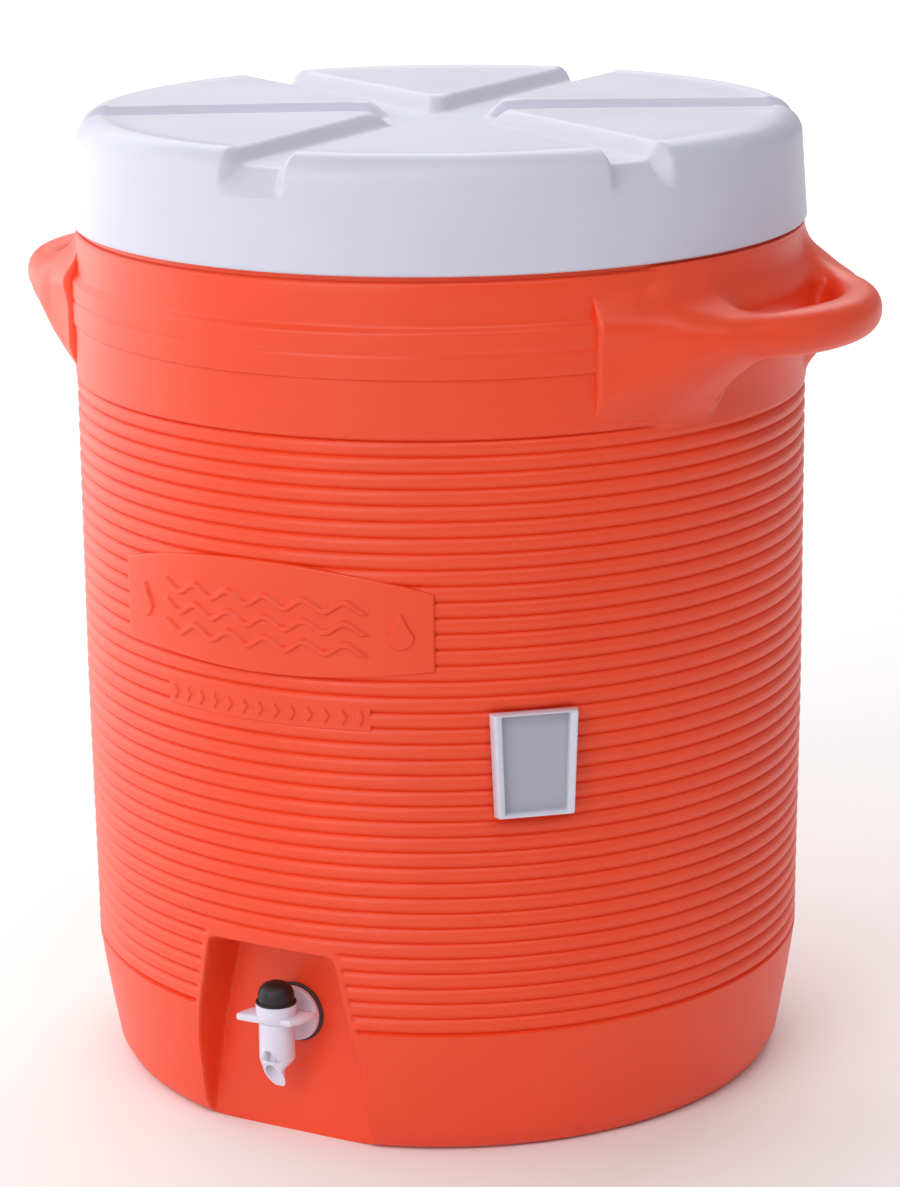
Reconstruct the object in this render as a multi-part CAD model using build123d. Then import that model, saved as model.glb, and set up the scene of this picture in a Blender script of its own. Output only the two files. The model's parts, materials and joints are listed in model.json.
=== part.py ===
from build123d import *

from math import cos, radians, sin, sqrt
import os

# Insulated drinking water dispenser with a screw lid and a push button spigot.
#
# Frame: origin on the floor at the middle of the base, +Z up, spigot towards -Y, carrying
# handles at +X and -X. Lengths are in millimetres, angles in degrees. Every function named after
# a sub-part returns it, and the loop at the end writes one STEP file for each.

# ---- driving dimensions: heights above the floor -------------------------------------------
TOTAL_HEIGHT = 531.0
SHELL_TOP = 471.4            # top edge of the outer shell, hidden by the lid
BAND_BOTTOM = 420.0          # proud band under the neck
BAND_TOP = 444.0
RIBS_TOP = 388.75
RIB_PITCH = 8.368
RIB_COUNT = 38

# ---- driving dimensions: radii and walls ----------------------------------------------------
BODY_RADIUS = 200.0          # crest of the ribs
BASE_RADIUS = 187.2
NECK_RADIUS = 198.5
BAND_RADIUS = 201.8
SHOULDER_RADIUS = 200.6      # plain stretch between the ribs and the band
RIB_DEPTH = 1.8
RIB_GROOVE_SHARE = 0.22      # half width of a groove between ribs, as a share of the pitch
SHELL_WALL = 3.0
SHELL_DRAFT = 1.0            # the inside narrows by this much down to the base
LINER_RADIUS = 172.0         # inside of the tub
LINER_WALL = 2.5
LID_RADIUS = 200.0
JOINT_GAP = 0.3              # air between two bodies that move apart
BOOLEAN_MARGIN = 20.0        # how far cutting tools reach past what they cut
OVERSHOOT = 1.0              # the same where there is little room

# ---- base ----------------------------------------------------------------------------------
FOOT_WIDTH = 14.0
FOOT_OUTER = 180.0
FOOT_HEIGHT = 4.0
BASE_CORNER = 7.0
BASE_KNEE = 25.6             # height where the base starts to bow in towards the foot
BASE_KNEE_RADIUS = 190.3
BASE_TOP_RADIUS = 196.5      # where the base meets the lowest rib
FLOOR_WALL = 3.0

# ---- handles -------------------------------------------------------------------------------
HANDLE_CENTRE = 150.0        # centre of the bow, from the axis
HANDLE_OUTER = 102.0         # outer bow radius
HANDLE_BAR = 24.0            # bar depth, seen from above
BAR_TOP = 444.0
BAR_BOTTOM = 419.0
ROOT_TOP = 458.0
ROOT_BOTTOM = 394.0
ROOT_REACH = 205.0           # where the deep root starts to narrow to the bar
BAR_REACH = 238.0            # where it has become the plain bar
BAR_ROUNDING = 8.0

# ---- badge, motif land and spigot recess on the front -----------------------------------------
BADGE_HALF_ANGLE = 27.5
BADGE_END_LOW = 269.0
BADGE_END_HIGH = 310.0
BADGE_CROWN = 323.0
BADGE_BELLY = 263.0
BADGE_PROUD = 1.6
LAND_HALF_ANGLE = 18.0
LAND_LOW = 236.0
LAND_HIGH = 252.0
RECESS_PANEL = 169.0         # flat panel, from the axis
RECESS_RAMP_TOP = 44.0       # below this the panel slants forward to the foot
RECESS_RAMP = 7.0
RECESS_TOP = 113.0
RECESS_TOP_HALF = 38.5
RECESS_KNEE = 50.0
RECESS_KNEE_HALF = 50.5
RECESS_FOOT_HALF = 51.5
LINER_FLAT = 154.0           # outside of the flat on the tub, behind the panel
LINER_FLAT_TOP = 128.0

# ---- tub -----------------------------------------------------------------------------------
TUB_FLOOR = 38.0             # inside of the floor
TUB_CORNER = 18.0
FLANGE_THICKNESS = 3.0
FLANGE_RADIUS = 196.8
FLANGE_CHAMFER = 1.0

# ---- lid -----------------------------------------------------------------------------------
LID_BOTTOM = 472.1
LID_WALL = 3.0
LID_CORNER = 12.0
LID_DRAFT = 3.0              # the side leans in by this much at the top
SKIRT_INNER = 197.4
GROOVE_COUNT = 6
GROOVE_WIDTH = 26.0
GROOVE_DEPTH = 9.0
GROOVE_WALL = 5.0            # how far a groove wall leans out on its way up
HUB_RADIUS = 27.0
NOTCH_START = 187.0          # where a groove floor turns down into the notch in the rim
PAN_BOTTOM = 477.2
PAN_WALL = 2.5
PAN_TOP = PAN_BOTTOM + PAN_WALL
PLUG_RADIUS = 166.0
PLUG_BOTTOM = 452.0
GASKET_INNER = 177.0
GASKET_OUTER = 190.0
GASKET_GROOVE = 1.0
PLUG_CHAMFER = 2.0

# ---- interrupted screw thread ---------------------------------------------------------------
THREAD_STARTS = 4
THREAD_LEAD = 48.0
THREAD_HEIGHT = 5.0
THREAD_CLEAR = 1.3
THREAD_ROOT = 1.0            # how deep a lug is rooted in its wall
PLUG_LUG_ANGLE = 46.0
NECK_LUG_ANGLE = 26.0
PLUG_LUG_HEIGHT = 457.5
NECK_LUG_ABOVE = 6.0

# ---- spigot --------------------------------------------------------------------------------
SPIGOT_HEIGHT = 66.0         # axis of the pipe through the wall
BARREL_OUT = 190.5           # axis of the upright barrel, from the axis of the cooler
BARREL_RADIUS = 9.6
BARREL_TOP = 68.5
BARREL_STEP = 47.0
SPOUT_RADIUS = 5.8
SPOUT_TOP = 41.0
SPOUT_TIP = 29.5
SPOUT_FORWARD = 3.8          # the spout sits this far in front of the barrel's axis
SPOUT_CUT_TOP = 47.5
PIPE_HEIGHT = 62.4           # axis of the cross pipe, lower than the tail's
PIPE_RADIUS = 5.8
PIPE_BORE = 4.0
TAIL_BORE = 5.4
TAIL_RADIUS = 9.4
TAIL_END = 131.0
SPIGOT_FLANGE_RADIUS = 15.3
SPIGOT_FLANGE = 3.4
WASHER_RADIUS = 16.6
WASHER_THICKNESS = 2.0
SEAT_TOP = 58.0
SEAT_BOTTOM = 56.0
SEAT_BORE = 4.2
CHAMBER_RADIUS = 7.6
LOWER_CHAMBER_RADIUS = 6.9
LOWER_CHAMBER_BOTTOM = 50.0
SPOUT_BORE = 4.3
SPOUT_BORE_TOP = 43.0
HOLE_CLEARANCE = 0.4
SLEEVE_WALL = 3.2
NUT_ACROSS = 30.0
NUT_HEIGHT = 8.0

# ---- bonnet, button and valve ------------------------------------------------------------------
COLLAR_OUTER = 11.0
COLLAR_INNER = 10.05
COLLAR_TOP = 78.3
BONNET_FLOOR = 1.6
FINGER_CORNER = 23.2         # sharp corner of the diamond, before it is rounded
FINGER_DEPTH = 25.0
FINGER_SKEW = 8.0            # how far its front corner is to the side of the middle
FINGER_TIP_RADIUS = 2.4
FINGER_EDGE_RADIUS = 2.0
FINGER_TURN = 28.7           # where the bonnet stops when it is screwed tight
FINGER_PLATE = 3.8
BUTTON_TOP = 90.0
BUTTON_BOTTOM = 77.7
BUTTON_RADIUS = 9.75
BUTTON_HOLLOW = 7.7
BUTTON_CEILING = 84.0
BUTTON_SHOULDER = 82.0
SEAL_RING_TOP = 79.6
SEAL_GRIP = 0.05             # how far the seal ring stands in past the collar
STEM_RADIUS = 1.6
STEM_CLEARANCE = 0.08
DISC_RADIUS = 6.0
DISC_THICKNESS = 2.0
DISC_GAP = 0.1
SPRING_RADIUS = 4.6
SPRING_WIRE = 0.5
SPRING_PITCH = 2.4

# ---- cup dispenser bracket ------------------------------------------------------------------
BRACKET_AZIMUTH = 41.7
BRACKET_WIDTH = 47.0         # at the top
BRACKET_TAPER = 4.5          # how much narrower it is at the bottom
BRACKET_HEIGHT = 56.0
BRACKET_MIDDLE = 219.0
BRACKET_BACK = 200.3
BRACKET_PLATE = 2.4
BRACKET_DEPTH = 7.0
RAIL_WIDTH = 4.0
RAIL_LEAN = 2.2
LIP_HEIGHT = 2.6
PEG_SPACING = 28.0
PEG_RADIUS = 2.5
PEG_REACH = 10.0
PUSH_NUT_RADIUS = 6.0
PUSH_NUT_THICKNESS = 1.2

# ---- foam ----------------------------------------------------------------------------------
FOAM_GAP = 0.2
FILL_HOLE_RADIUS = 14.0
FILL_HOLE_OUT = 90.0
FILL_HOLE_GAP = 0.2
PLUG_HEAD_RADIUS = 18.0
PLUG_HEAD = 2.0

# ---- values worked out from the ones above -----------------------------------------------------
RIBS_BOTTOM = RIBS_TOP - RIB_COUNT * RIB_PITCH
SHELL_INNER = BODY_RADIUS - RIB_DEPTH - SHELL_WALL
FLOOR_TOP = FOOT_HEIGHT + FLOOR_WALL
LINER_OUTER = LINER_RADIUS + LINER_WALL
THREAD_DEPTH = LINER_RADIUS - PLUG_RADIUS - THREAD_CLEAR + THREAD_ROOT
FLANGE_TOP = SHELL_TOP + FLANGE_THICKNESS
GASKET_BOTTOM = FLANGE_TOP + JOINT_GAP / 2
BONNET_BOTTOM = BARREL_TOP
BONNET_FLOOR_TOP = BONNET_BOTTOM + BONNET_FLOOR
BARREL_AXIS = Location((0, -BARREL_OUT, 0))


def turned(points):
    """Solid of revolution about Z from a closed outline of (radius, height) points."""
    return revolve(make_face(Polyline(*points, close=True).edges()).moved(Location((0, 0, 0), (90, 0, 0))),
                   Axis.Z)


def disc(radius, low, high):
    """Upright cylinder about Z between two heights."""
    return Pos(0, 0, low) * Cylinder(radius, high - low, align=(Align.CENTER, Align.CENTER, Align.MIN))


def ring(inner, outer, low, high):
    """Upright tube about Z between two heights."""
    return disc(outer, low, high) - disc(inner, low - OVERSHOOT, high + OVERSHOOT)


def fore_aft(radius, near, far, height):
    """Cylinder along -Y at a height, from one distance in front of the axis to another."""
    bar = Cylinder(radius, far - near, align=(Align.CENTER, Align.CENTER, Align.MIN))
    return Pos(0, -near, height) * Rot(90, 0, 0) * bar


def front_prism(points, near, far):
    """Outline of (x, z) points, pushed along -Y from one distance to another."""
    face = make_face(Polyline(*points, close=True).edges()).moved(Location((0, -near, 0), (90, 0, 0)))
    return extrude(face, far - near, dir=(0, -1, 0))


def bored(outer, bore, near, far, height):
    """Tube along -Y at a height, from one distance in front of the axis to another."""
    return fore_aft(outer, near, far, height) - fore_aft(bore, near - OVERSHOOT, far + OVERSHOOT, height)


def only_solid(shape):
    """The largest solid of a result, so that each node is one clean piece."""
    return max(shape.solids(), key=lambda piece: piece.volume)


# ---- outer shell -----------------------------------------------------------------------------

def rib_outline():
    """Points of the ribs from the top down: a sharp valley between two flats, again and again."""
    points = []
    for number in range(RIB_COUNT + 1):
        valley = RIBS_TOP - number * RIB_PITCH
        fade = number / RIB_COUNT
        crest = BODY_RADIUS - fade * (BODY_RADIUS - NECK_RADIUS) / 2
        points.append((crest, valley + RIB_PITCH * RIB_GROOVE_SHARE))
        points.append((crest - RIB_DEPTH, valley))
        points.append((crest, valley - RIB_PITCH * RIB_GROOVE_SHARE))
    return points


def outer_form():
    """The whole body as a solid of revolution, without its inside."""
    points = [(0, SHELL_TOP), (NECK_RADIUS, SHELL_TOP), (NECK_RADIUS, BAND_TOP + SHELL_WALL)]
    points += [(BAND_RADIUS, BAND_TOP), (BAND_RADIUS, BAND_BOTTOM)]
    points += [(SHOULDER_RADIUS, BAND_BOTTOM - OVERSHOOT)]
    points += rib_outline()
    points += [(BASE_TOP_RADIUS, RIBS_BOTTOM - RIB_PITCH), (BASE_KNEE_RADIUS, BASE_KNEE)]
    points += [(BASE_RADIUS, BASE_CORNER)]
    points += [(FOOT_OUTER, 0), (FOOT_OUTER - FOOT_WIDTH, 0)]
    points += [(FOOT_OUTER - FOOT_WIDTH - FOOT_HEIGHT, FOOT_HEIGHT), (0, FOOT_HEIGHT)]
    return turned(points)


def inner_form():
    """The space inside the shell, open at the top."""
    points = [(0, SHELL_TOP + OVERSHOOT), (NECK_RADIUS - SHELL_WALL, SHELL_TOP + OVERSHOOT)]
    points += [(NECK_RADIUS - SHELL_WALL, BAND_TOP - SHELL_WALL), (SHELL_INNER, BAND_BOTTOM - SHELL_WALL)]
    points += [(SHELL_INNER - SHELL_DRAFT, RIBS_BOTTOM), (BASE_RADIUS - SHELL_WALL, FLOOR_TOP + BASE_CORNER)]
    points += [(BASE_RADIUS - SHELL_WALL - BASE_CORNER, FLOOR_TOP), (0, FLOOR_TOP)]
    return turned(points)


def recess_outline(grow):
    """Outline of the spigot recess seen from the front, grown by a wall if needed."""
    return [(-RECESS_TOP_HALF - grow, RECESS_TOP + grow), (RECESS_TOP_HALF + grow, RECESS_TOP + grow),
            (RECESS_KNEE_HALF + grow, RECESS_KNEE), (RECESS_FOOT_HALF + grow, -OVERSHOOT),
            (-RECESS_FOOT_HALF - grow, -OVERSHOOT), (-RECESS_KNEE_HALF - grow, RECESS_KNEE)]


def recess_space(grow=0.0):
    """Space of the recess, or that space with the shell's wall around it."""
    space = front_prism(recess_outline(grow), RECESS_PANEL - grow, BODY_RADIUS + BOOLEAN_MARGIN)
    return space - recess_ramp(grow)


def recess_ramp(grow):
    """Wedge that brings the foot of the recess's panel forward."""
    panel = grow - RECESS_PANEL
    low = -2 * OVERSHOOT
    outline = [(panel + OVERSHOOT, RECESS_RAMP_TOP), (panel, RECESS_RAMP_TOP), (panel - RECESS_RAMP, low),
               (panel + OVERSHOOT, low)]
    face = make_face(Polyline(*outline, close=True).edges())
    return Plane.YZ * extrude(face, RECESS_FOOT_HALF + BOOLEAN_MARGIN, both=True)


def handle_bow(side):
    """One moulded handle: a bow in plan, deep at its roots and a plain bar at its apex."""
    bow = Pos(HANDLE_CENTRE, 0, 0) * ring(HANDLE_OUTER - HANDLE_BAR, HANDLE_OUTER, ROOT_BOTTOM, ROOT_TOP)
    tip = HANDLE_CENTRE + HANDLE_OUTER
    start = BODY_RADIUS / 2
    outline = [(start, ROOT_TOP), (ROOT_REACH, ROOT_TOP), (BAR_REACH, BAR_TOP)]
    outline += [(tip - BAR_ROUNDING, BAR_TOP), (tip, BAR_TOP - BAR_ROUNDING)]
    outline += [(tip, BAR_BOTTOM + BAR_ROUNDING)]
    outline += [(tip - BAR_ROUNDING, BAR_BOTTOM), (BAR_REACH, BAR_BOTTOM), (ROOT_REACH, ROOT_BOTTOM)]
    outline += [(start, ROOT_BOTTOM)]
    bow &= front_prism(outline, -HANDLE_OUTER, HANDLE_OUTER)
    bow -= disc(SHELL_INNER + OVERSHOOT, ROOT_BOTTOM, ROOT_TOP)
    return bow if side > 0 else mirror(bow, about=Plane.YZ)


def badge():
    """Smooth raised panel on the front, with arched top and bottom edges and upright ends."""
    half = BODY_RADIUS * sin(radians(BADGE_HALF_ANGLE))
    top = ThreePointArc((-half, BADGE_END_HIGH), (0, BADGE_CROWN), (half, BADGE_END_HIGH))
    bottom = ThreePointArc((half, BADGE_END_LOW), (0, BADGE_BELLY), (-half, BADGE_END_LOW))
    right = Line((half, BADGE_END_HIGH), (half, BADGE_END_LOW))
    left = Line((-half, BADGE_END_LOW), (-half, BADGE_END_HIGH))
    face = make_face([top.edge(), right.edge(), bottom.edge(), left.edge()])
    upright = face.moved(Location((0, 0, 0), (90, 0, 0)))
    block = extrude(upright, BODY_RADIUS + BOOLEAN_MARGIN, dir=(0, -1, 0))
    skin = ring(SHELL_INNER + OVERSHOOT, BODY_RADIUS + BADGE_PROUD, BADGE_BELLY, BADGE_CROWN)
    return skin & block


def motif_land():
    """Plain land under the badge where the ribs stop."""
    half = BODY_RADIUS * sin(radians(LAND_HALF_ANGLE))
    outline = [(-half, LAND_LOW), (half, LAND_LOW), (half, LAND_HIGH), (-half, LAND_HIGH)]
    block = front_prism(outline, 0, BODY_RADIUS + BOOLEAN_MARGIN)
    return ring(SHELL_INNER + OVERSHOOT, BODY_RADIUS, LAND_LOW, LAND_HIGH) & block


def bracket_pegs(radius, near, far):
    """Two pegs, one above the other, facing the front."""
    pegs = Part()
    for side in (-1, 1):
        pegs += fore_aft(radius, near, far, BRACKET_MIDDLE + side * PEG_SPACING / 2)
    return pegs


def bracket_holes(radius, near, far):
    """The space of the two pegs, turned to the bracket's place."""
    return bracket_pegs(radius, near, far).rotate(Axis.Z, BRACKET_AZIMUTH)


def outer_shell():
    """Moulded outer shell with its ribs, band, badge, recess and both handles."""
    solid = outer_form() + badge() + motif_land()
    solid += handle_bow(1)
    solid += handle_bow(-1)
    solid -= recess_space()
    solid -= inner_form() - recess_space(SHELL_WALL)
    solid -= fore_aft(TAIL_RADIUS + HOLE_CLEARANCE, TAIL_END, RECESS_PANEL + OVERSHOOT, SPIGOT_HEIGHT)
    solid -= bracket_holes(PEG_RADIUS + HOLE_CLEARANCE / 2, LINER_OUTER, BODY_RADIUS + BOOLEAN_MARGIN)
    solid -= Pos(0, FILL_HOLE_OUT, 0) * disc(FILL_HOLE_RADIUS, 0, FLOOR_TOP + OVERSHOOT)
    return only_solid(solid)


# ---- tub, foam and what holds them --------------------------------------------------------------

def tub_form(radius, floor, corner, flat, flat_top):
    """A round tub shape with a rounded floor and a flat at the front, as a solid."""
    body = disc(radius, floor, FLANGE_TOP + OVERSHOOT)
    body = fillet(body.edges().sort_by(Axis.Z)[0], corner)
    low = floor - OVERSHOOT
    outline = [(-radius, low), (radius, low), (radius, flat_top), (-radius, flat_top)]
    return body - front_prism(outline, flat, radius + BOOLEAN_MARGIN)


def tub_inside():
    """The drinking water space, up to the rim."""
    flat = LINER_FLAT - LINER_WALL
    return tub_form(LINER_RADIUS, TUB_FLOOR, TUB_CORNER, flat, LINER_FLAT_TOP + LINER_WALL)


def tub_outside():
    """Outside of the tub, without its flange."""
    return tub_form(LINER_OUTER, TUB_FLOOR - LINER_WALL, TUB_CORNER + LINER_WALL, LINER_FLAT, LINER_FLAT_TOP)


def thread_lug(radius, depth, start_height, angle, turn):
    """One helical lug: a square bar swept along part of a coarse right-hand screw."""
    rise = THREAD_LEAD * angle / 360
    path = Helix(THREAD_LEAD, rise, radius)
    profile = Plane(origin=path @ 0, x_dir=(1, 0, 0), z_dir=path % 0) * Rectangle(depth, THREAD_HEIGHT)
    lug = sweep(profile, path=path, is_frenet=True)
    return lug.moved(Location((0, 0, start_height - rise / 2))).rotate(Axis.Z, turn - angle / 2)


def thread_ring(radius, depth, height, angle):
    """All the lugs of one side of the screw, spaced evenly round the mouth."""
    lugs = Part()
    for start in range(THREAD_STARTS):
        lugs += thread_lug(radius, depth, height, angle, start * 360 / THREAD_STARTS)
    return lugs


def inner_liner():
    """White food-grade tub with its flange on the shell's edge and the screw lugs in its mouth."""
    flange = disc(FLANGE_RADIUS, SHELL_TOP, FLANGE_TOP)
    flange = chamfer(flange.edges().sort_by(Axis.Z)[-1], FLANGE_CHAMFER)
    collar = disc(LINER_OUTER, TUB_FLOOR, FLANGE_TOP)
    solid = (tub_outside() & disc(LINER_OUTER, 0, FLANGE_TOP)) + flange
    solid -= tub_inside()
    middle = LINER_RADIUS + THREAD_ROOT - THREAD_DEPTH / 2
    lugs = thread_ring(middle, THREAD_DEPTH, PLUG_LUG_HEIGHT + NECK_LUG_ABOVE, NECK_LUG_ANGLE)
    solid += lugs & collar
    solid -= fore_aft(TAIL_RADIUS + HOLE_CLEARANCE, TAIL_END, RECESS_PANEL, SPIGOT_HEIGHT)
    return only_solid(solid)


def foam_insulation():
    """Foam that fills the space between the shell and the tub."""
    solid = shrunk_inner() - recess_space(SHELL_WALL + FOAM_GAP) - grown_tub()
    solid &= disc(BODY_RADIUS, 0, SHELL_TOP - FOAM_GAP)
    solid -= fore_aft(TAIL_RADIUS + SLEEVE_WALL + FOAM_GAP, TAIL_END, RECESS_PANEL, SPIGOT_HEIGHT)
    solid -= bracket_holes(PUSH_NUT_RADIUS + OVERSHOOT, LINER_OUTER + LINER_WALL, BODY_RADIUS)
    solid -= Pos(0, FILL_HOLE_OUT, 0) * disc(PLUG_HEAD_RADIUS, 0, FLOOR_TOP + PLUG_HEAD + OVERSHOOT)
    return only_solid(solid)


def grown_tub():
    """The tub's outside with a thin gap all round it."""
    grown = tub_form(LINER_OUTER + FOAM_GAP, TUB_FLOOR - LINER_WALL - FOAM_GAP, TUB_CORNER + LINER_WALL,
                     LINER_FLAT + FOAM_GAP, LINER_FLAT_TOP - FOAM_GAP)
    return grown


def shrunk_inner():
    """The shell's inside with a thin gap all round it."""
    inside = inner_form()
    share = (SHELL_INNER - FOAM_GAP) / SHELL_INNER
    low = FLOOR_TOP + FOAM_GAP
    return (Pos(0, 0, FOAM_GAP) * scale(inside, by=(share, share, 1))) & disc(BODY_RADIUS, low, SHELL_TOP)


def foam_fill_plug():
    """Snap-in plug in the floor that closes the hole the foam was poured through."""
    solid = disc(FILL_HOLE_RADIUS - FILL_HOLE_GAP, FOOT_HEIGHT, FLOOR_TOP)
    solid += disc(PLUG_HEAD_RADIUS - OVERSHOOT, FLOOR_TOP, FLOOR_TOP + PLUG_HEAD)
    return Pos(0, FILL_HOLE_OUT, 0) * solid


# ---- cup bracket ------------------------------------------------------------------------------

def bracket_slab(low, high, inset, near, far):
    """Slab between two heights that narrows downwards with the bracket, and outwards with its rails."""
    ends = []
    for height in (low, high):
        share = (height - BRACKET_MIDDLE) / BRACKET_HEIGHT - 0.5
        half = (BRACKET_WIDTH + BRACKET_TAPER * share) / 2 - inset
        outline = [(-half, near), (half, near), (half - RAIL_LEAN, far), (RAIL_LEAN - half, far)]
        ends.append(Pos(0, 0, height) * make_face(Polyline(*outline, close=True).edges()))
    return loft(ends, ruled=True)


def cup_bracket():
    """Slide-on plate for a paper cup dispenser: a back, two leaning rails, a bottom lip and two pegs."""
    low = BRACKET_MIDDLE - BRACKET_HEIGHT / 2
    high = low + BRACKET_HEIGHT
    back = -BRACKET_BACK
    front = back - BRACKET_DEPTH
    face = back - BRACKET_PLATE
    body = bracket_slab(low, high, 0, back, front)
    body -= bracket_slab(low + LIP_HEIGHT, high + OVERSHOOT, RAIL_WIDTH, face, front - OVERSHOOT)
    body += bracket_pegs(PEG_RADIUS, BRACKET_BACK - PEG_REACH, BRACKET_BACK + OVERSHOOT)
    return only_solid(body.rotate(Axis.Z, BRACKET_AZIMUTH))


def bracket_push_nuts():
    """Two push nuts that grip the bracket's pegs inside the shell."""
    far = SHELL_INNER - OVERSHOOT
    near = far - PUSH_NUT_THICKNESS
    nuts = bracket_holes(PUSH_NUT_RADIUS, near, far)
    return nuts - bracket_holes(PEG_RADIUS, near - OVERSHOOT, far + OVERSHOOT)


# ---- spigot -----------------------------------------------------------------------------------

def stepped_barrel(top, step, step_radius, cone_end, tip_radius, tip):
    """Upright cylinder, slanted cone and the narrower spout in front of the axis, or the same inside."""
    cone = loft([Pos(0, 0, step) * Circle(step_radius),
                 Pos(0, -SPOUT_FORWARD, cone_end) * Circle(tip_radius)], ruled=True)
    spout = Pos(0, -SPOUT_FORWARD, 0) * disc(tip_radius, tip, cone_end)
    return disc(step_radius, step, top) + cone + spout


def spigot_body():
    """Spigot casting: flange, tail through the wall, cross pipe, upright barrel and cut spout."""
    washer_front = RECESS_PANEL + WASHER_THICKNESS
    flange_front = washer_front + SPIGOT_FLANGE
    outside = stepped_barrel(BARREL_TOP, BARREL_STEP, BARREL_RADIUS, SPOUT_TOP, SPOUT_RADIUS, SPOUT_TIP)
    lower = stepped_barrel(SEAT_BOTTOM, LOWER_CHAMBER_BOTTOM, LOWER_CHAMBER_RADIUS, SPOUT_BORE_TOP,
                           SPOUT_BORE, SPOUT_TIP - OVERSHOOT)
    solid = BARREL_AXIS * outside
    solid += fore_aft(PIPE_RADIUS, washer_front, BARREL_OUT, PIPE_HEIGHT)
    solid += fore_aft(SPIGOT_FLANGE_RADIUS, washer_front, flange_front, SPIGOT_HEIGHT)
    solid += fore_aft(TAIL_RADIUS, TAIL_END, washer_front + OVERSHOOT, SPIGOT_HEIGHT)
    solid -= fore_aft(TAIL_BORE, TAIL_END - OVERSHOOT, washer_front, SPIGOT_HEIGHT)
    solid -= fore_aft(PIPE_BORE, washer_front - OVERSHOOT, BARREL_OUT, PIPE_HEIGHT)
    solid -= BARREL_AXIS * disc(CHAMBER_RADIUS, SEAT_TOP, BARREL_TOP + OVERSHOOT)
    solid -= BARREL_AXIS * disc(SEAT_BORE, SEAT_BOTTOM - OVERSHOOT, SEAT_TOP + OVERSHOOT)
    solid -= BARREL_AXIS * lower
    solid -= spout_cut()
    return only_solid(solid)


def spout_cut():
    """Wedge that cuts the spout on a slant, so that its front edge is higher than its tip."""
    middle = -BARREL_OUT - SPOUT_FORWARD
    front = middle - SPOUT_RADIUS - OVERSHOOT
    back = middle + SPOUT_RADIUS
    low = SPOUT_TIP - OVERSHOOT
    outline = [(front, SPOUT_CUT_TOP), (front, low), (back, low)]
    face = make_face(Polyline(*outline, close=True).edges())
    wedge = extrude(face, BARREL_RADIUS, both=True)
    return Plane.YZ * wedge


def finger_plate():
    """Flat, slightly skewed diamond under the collar that two fingers hold while the thumb presses."""
    reach = FINGER_CORNER
    depth = FINGER_DEPTH / 2
    corners = [(-reach, 0), (FINGER_SKEW, -depth), (reach, 0), (-FINGER_SKEW, depth)]
    rounded = make_face(Polyline(*corners, close=True).edges())
    for axis, radius in ((Axis.X, FINGER_TIP_RADIUS), (Axis.Y, FINGER_EDGE_RADIUS)):
        for end in (0, -1):
            rounded = fillet(rounded.vertices().sort_by(axis)[end], radius)
    plate = Pos(0, 0, BONNET_BOTTOM) * extrude(rounded, FINGER_PLATE)
    return plate.rotate(Axis.Z, FINGER_TURN)


def spigot_bonnet():
    """Cap of the barrel: floor with the stem's guide hole, finger plate and the button's collar."""
    solid = finger_plate() + disc(COLLAR_OUTER, BONNET_BOTTOM, COLLAR_TOP)
    solid -= disc(COLLAR_INNER, BONNET_FLOOR_TOP, COLLAR_TOP + OVERSHOOT)
    solid -= disc(STEM_RADIUS + STEM_CLEARANCE, BONNET_BOTTOM - OVERSHOOT, BONNET_FLOOR_TOP + OVERSHOOT)
    return BARREL_AXIS * solid


def button_seal_ring():
    """Rubber ring on the collar that the button slides through."""
    return BARREL_AXIS * ring(COLLAR_INNER - SEAL_GRIP, COLLAR_OUTER, COLLAR_TOP, SEAL_RING_TOP)


def spigot_button():
    """Rubber push button: a hollow dome."""
    skirt = disc(BUTTON_RADIUS, BUTTON_BOTTOM, BUTTON_SHOULDER)
    dome_height = BUTTON_TOP - BUTTON_SHOULDER
    dome_radius = (BUTTON_RADIUS ** 2 + dome_height ** 2) / (2 * dome_height)
    dome = Pos(0, 0, BUTTON_TOP - dome_radius) * Sphere(dome_radius)
    dome &= disc(BUTTON_RADIUS, BUTTON_SHOULDER, BUTTON_TOP + OVERSHOOT)
    return BARREL_AXIS * (skirt + dome - disc(BUTTON_HOLLOW, BUTTON_BOTTOM - OVERSHOOT, BUTTON_CEILING))


def valve_stem():
    """Stem from the button down through the seat to the valve disc."""
    return BARREL_AXIS * disc(STEM_RADIUS, SEAT_BOTTOM - DISC_GAP, BUTTON_CEILING)


def valve_disc():
    """Rubber disc that shuts the seat from below."""
    return BARREL_AXIS * disc(DISC_RADIUS, SEAT_BOTTOM - DISC_GAP - DISC_THICKNESS, SEAT_BOTTOM - DISC_GAP)


def return_spring():
    """Coil spring round the stem that lifts the button."""
    low = BONNET_FLOOR_TOP + SPRING_WIRE + DISC_GAP
    height = BUTTON_CEILING - BONNET_FLOOR_TOP - 2 * (SPRING_WIRE + DISC_GAP)
    path = Helix(SPRING_PITCH, height, SPRING_RADIUS)
    wire = Plane(origin=path @ 0, z_dir=path % 0) * Circle(SPRING_WIRE)
    return BARREL_AXIS * Pos(0, 0, low) * sweep(wire, path=path, is_frenet=True)


def outer_washer():
    """Rubber washer between the spigot's flange and the recess panel."""
    return bored(WASHER_RADIUS, TAIL_RADIUS, RECESS_PANEL, RECESS_PANEL + WASHER_THICKNESS, SPIGOT_HEIGHT)


def inner_washer():
    """Rubber washer inside the tub, under the nut."""
    far = LINER_FLAT - LINER_WALL
    return bored(WASHER_RADIUS, TAIL_RADIUS, far - WASHER_THICKNESS, far, SPIGOT_HEIGHT)


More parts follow.
